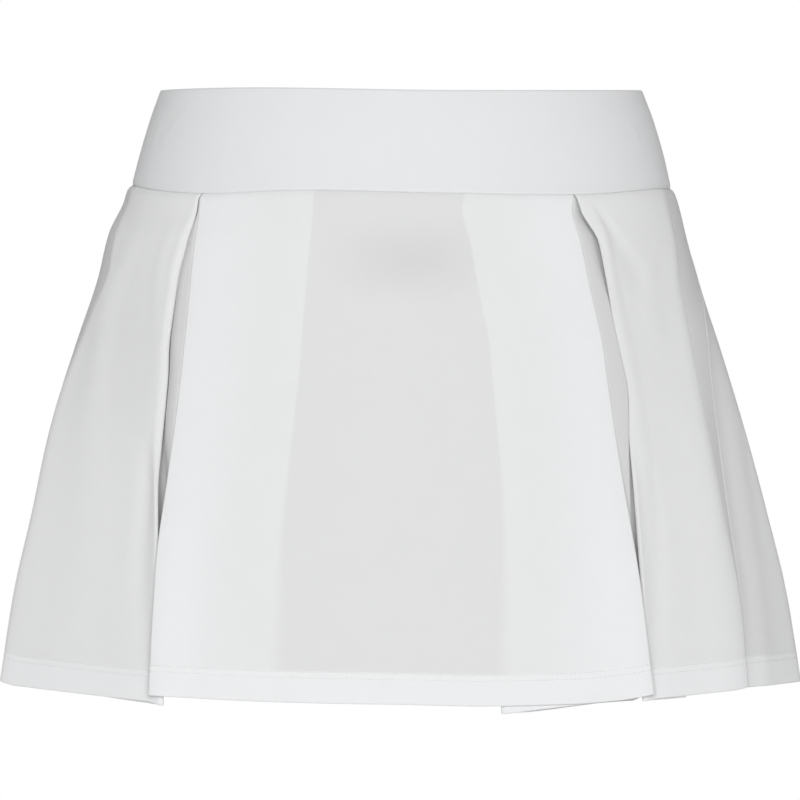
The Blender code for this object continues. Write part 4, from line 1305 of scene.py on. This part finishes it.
def thread_material(colours):
    """Spun polyester thread, slightly fuzzy."""
    maker = MaterialMaker("thread", Roughness=0.6, Specular_IOR_Level=0.35, Sheen_Weight=0.1)
    fuzz = maker.noise(maker.place(), 2500.0, 2.0)
    dark = opaque([value * THREAD_DARK for value in colours.thread])
    maker.feed("Base Color", maker.mix(fuzz, dark, opaque(colours.thread)))
    maker.feed("Roughness", fuzz * 0.2 + 0.5)
    maker.feed("Normal", maker.bump(fuzz, 0.4, 0.00006))
    return maker.material


def floor_material():
    """Matt pale studio floor."""
    maker = MaterialMaker("studio floor", Roughness=0.9, Specular_IOR_Level=0.2)
    grain = maker.noise(maker.place(), 6.0, 4.0)
    maker.feed("Base Color", maker.mix(grain, *FLOOR_TONES))
    maker.feed("Roughness", grain * 0.1 + 0.85)
    return maker.material


# -------- attaching the pieces
def dress(piece, nodes=()):
    """The piece moves with the skirt, and the nodes of the model that it stands for are hidden."""
    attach(piece, "root")
    if nodes:
        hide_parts(*nodes)


# -------- the studio
WHITE = (1.0, 1.0, 1.0, 1.0)
FLOOR_CORNERS = 96
LIGHTS = (("front light", (0.0, -4.3, 0.75), "front_power"),
          ("back light", (0.0, 4.3, 1.1), "back_power"))
LIGHT_SIZE = (2.6, 1.9)
LIGHT_TARGET = (0.0, 0.0, -0.19)
CAMERA_PLACE = (-0.0006, -3.8, 0.0)
CAMERA_TIP = 2.68       # degrees below level
CAMERA_LENS = 298.0
CAMERA_SENSOR = 36.0
CAMERA_REACH = 60.0


# -------- operators
class SKIRT_OT_waistband(Operator):
    """Make the two halves of the folded waistband"""
    bl_idname = "skirt.waistband"
    bl_label = "Waistband"

    def execute(self, context):
        sizes, colours = context.scene.skirt_sizes, context.scene.skirt_colours
        material = band_material(colours)
        for name, start, end in (("waistband_front", -90.0, 90.0), ("waistband_back", 90.0, 270.0)):
            piece = wall_piece(name + "_knit", band_grid(sizes, start, end), material)
            dress(piece, (name,))
        return {"FINISHED"}


class SKIRT_OT_cloth(Operator):
    """Make the front and the back of the pleated skirt with their hem stitches"""
    bl_idname = "skirt.cloth"
    bl_label = "Skirt and hem stitches"

    def execute(self, context):
        sizes, colours = context.scene.skirt_sizes, context.scene.skirt_colours
        knit, thread = knit_material(sizes, colours), thread_material(colours)
        pieces = (("skirt_front", Levels.front_legs, centre_bow, 3),
                  ("skirt_back", Levels.back_legs, back_bow, 5))
        for name, legs_of, bow, seed in pieces:
            grid = skirt_grid(sizes, legs_of, bow)
            piece = wall_piece(name + "_knit", grid, knit)
            points, quads = stitch_rows(sizes, grid, seed)
            stitches = new_piece(name + "_stitches", points, quads, thread)
            dress(piece, (name,))
            dress(stitches)
        return {"FINISHED"}


class SKIRT_OT_stage(Operator):
    """Make the studio: a pale floor, soft lights and the camera"""
    bl_idname = "skirt.stage"
    bl_label = "Studio"

    def execute(self, context):
        look = context.scene.studio_look
        self.make_floor(look)
        self.make_world(look)
        for name, place, power in LIGHTS:
            self.add_light(name, place, getattr(look, power))
        self.add_camera()
        context.scene.view_settings.view_transform = "Standard"
        return {"FINISHED"}

    def make_floor(self, look):
        """A disc of triangles round a middle point."""
        around = np.linspace(0.0, 2 * np.pi, FLOOR_CORNERS, endpoint=False)
        rim = np.stack((np.cos(around), np.sin(around), 0 * around), axis=1)
        points = np.concatenate(([(0.0, 0.0, 0.0)], rim)) * look.floor_radius
        points[:, 2] = -look.floor_drop
        number = np.arange(FLOOR_CORNERS)
        faces = np.stack((0 * number, number + 1, (number + 1) % FLOOR_CORNERS + 1), axis=1)
        floor = new_piece("studio_floor", points / MM, faces, floor_material())

    def make_world(self, look):
        """White behind the skirt, and a softer even light on it."""
        world = bpy.data.worlds.new("studio")
        bpy.context.scene.world = world
        world.use_nodes = True
        nodes, links = world.node_tree.nodes, world.node_tree.links
        room, backdrop = nodes["Background"], nodes.new("ShaderNodeBackground")
        chooser = nodes.new("ShaderNodeMixShader")
        path = nodes.new("ShaderNodeLightPath")
        links.new(path.outputs["Is Camera Ray"], chooser.inputs[0])
        for number, (light, strength) in enumerate(((room, look.ambient), (backdrop, 1.0))):
            light.inputs["Color"].default_value = WHITE
            light.inputs["Strength"].default_value = strength
            links.new(light.outputs[0], chooser.inputs[number + 1])
        links.new(chooser.outputs[0], nodes["World Output"].inputs["Surface"])

    def add_light(self, name, place, power):
        """A soft rectangle of light that faces the skirt."""
        light = bpy.data.lights.new(name, "AREA")
        light.shape = "RECTANGLE"
        light.size, light.size_y = LIGHT_SIZE
        light.energy = power
        aim = Vector(LIGHT_TARGET) - Vector(place)
        holder = self.put(light, place, aim.to_track_quat("-Z", "Y").to_euler())
        holder.visible_camera = False

    def add_camera(self):
        """A long lens level with the waist, tipped down to the middle of the skirt."""
        camera = bpy.data.cameras.new("camera")
        camera.lens = CAMERA_LENS
        camera.sensor_width = CAMERA_SENSOR
        camera.clip_end = CAMERA_REACH
        tip = (math.radians(90.0 - CAMERA_TIP), 0.0, 0.0)
        bpy.context.scene.camera = self.put(camera, CAMERA_PLACE, tip)

    def put(self, data, place, turn):
        """An object for a light or a camera."""
        holder = bpy.data.objects.new(data.name, data)
        holder.location, holder.rotation_euler = place, turn
        bpy.context.scene.collection.objects.link(holder)
        return holder


class SKIRT_PT_maker(Panel):
    """Sizes, colours and the steps that make the skirt"""
    bl_label = "Tennis skirt"
    bl_idname = "SKIRT_PT_maker"
    bl_space_type = "VIEW_3D"
    bl_region_type = "UI"
    bl_category = "Skirt"

    def draw(self, context):
        layout = self.layout
        for group_name, group in GROUPS.items():
            box = layout.box()
            for name in group.__annotations__:
                box.prop(getattr(context.scene, group_name), name)
        for operator in OPERATORS:
            layout.operator(operator.bl_idname)


GROUPS = {"skirt_sizes": SkirtSizes, "skirt_colours": SkirtColours, "studio_look": StudioLook}
OPERATORS = (SKIRT_OT_waistband, SKIRT_OT_cloth, SKIRT_OT_stage)
CLASSES = (*GROUPS.values(), *OPERATORS, SKIRT_PT_maker)


def register():
    for cls in CLASSES:
        bpy.utils.register_class(cls)
    for name, group in GROUPS.items():
        setattr(bpy.types.Scene, name, PointerProperty(type=group))


def unregister():
    for name in GROUPS:
        delattr(bpy.types.Scene, name)
    for cls in reversed(CLASSES):
        bpy.utils.unregister_class(cls)


def main():
    register()
    bpy.ops.skirt.waistband()
    bpy.ops.skirt.cloth()
    bpy.ops.skirt.stage()


if __name__ == "__main__":
    main()
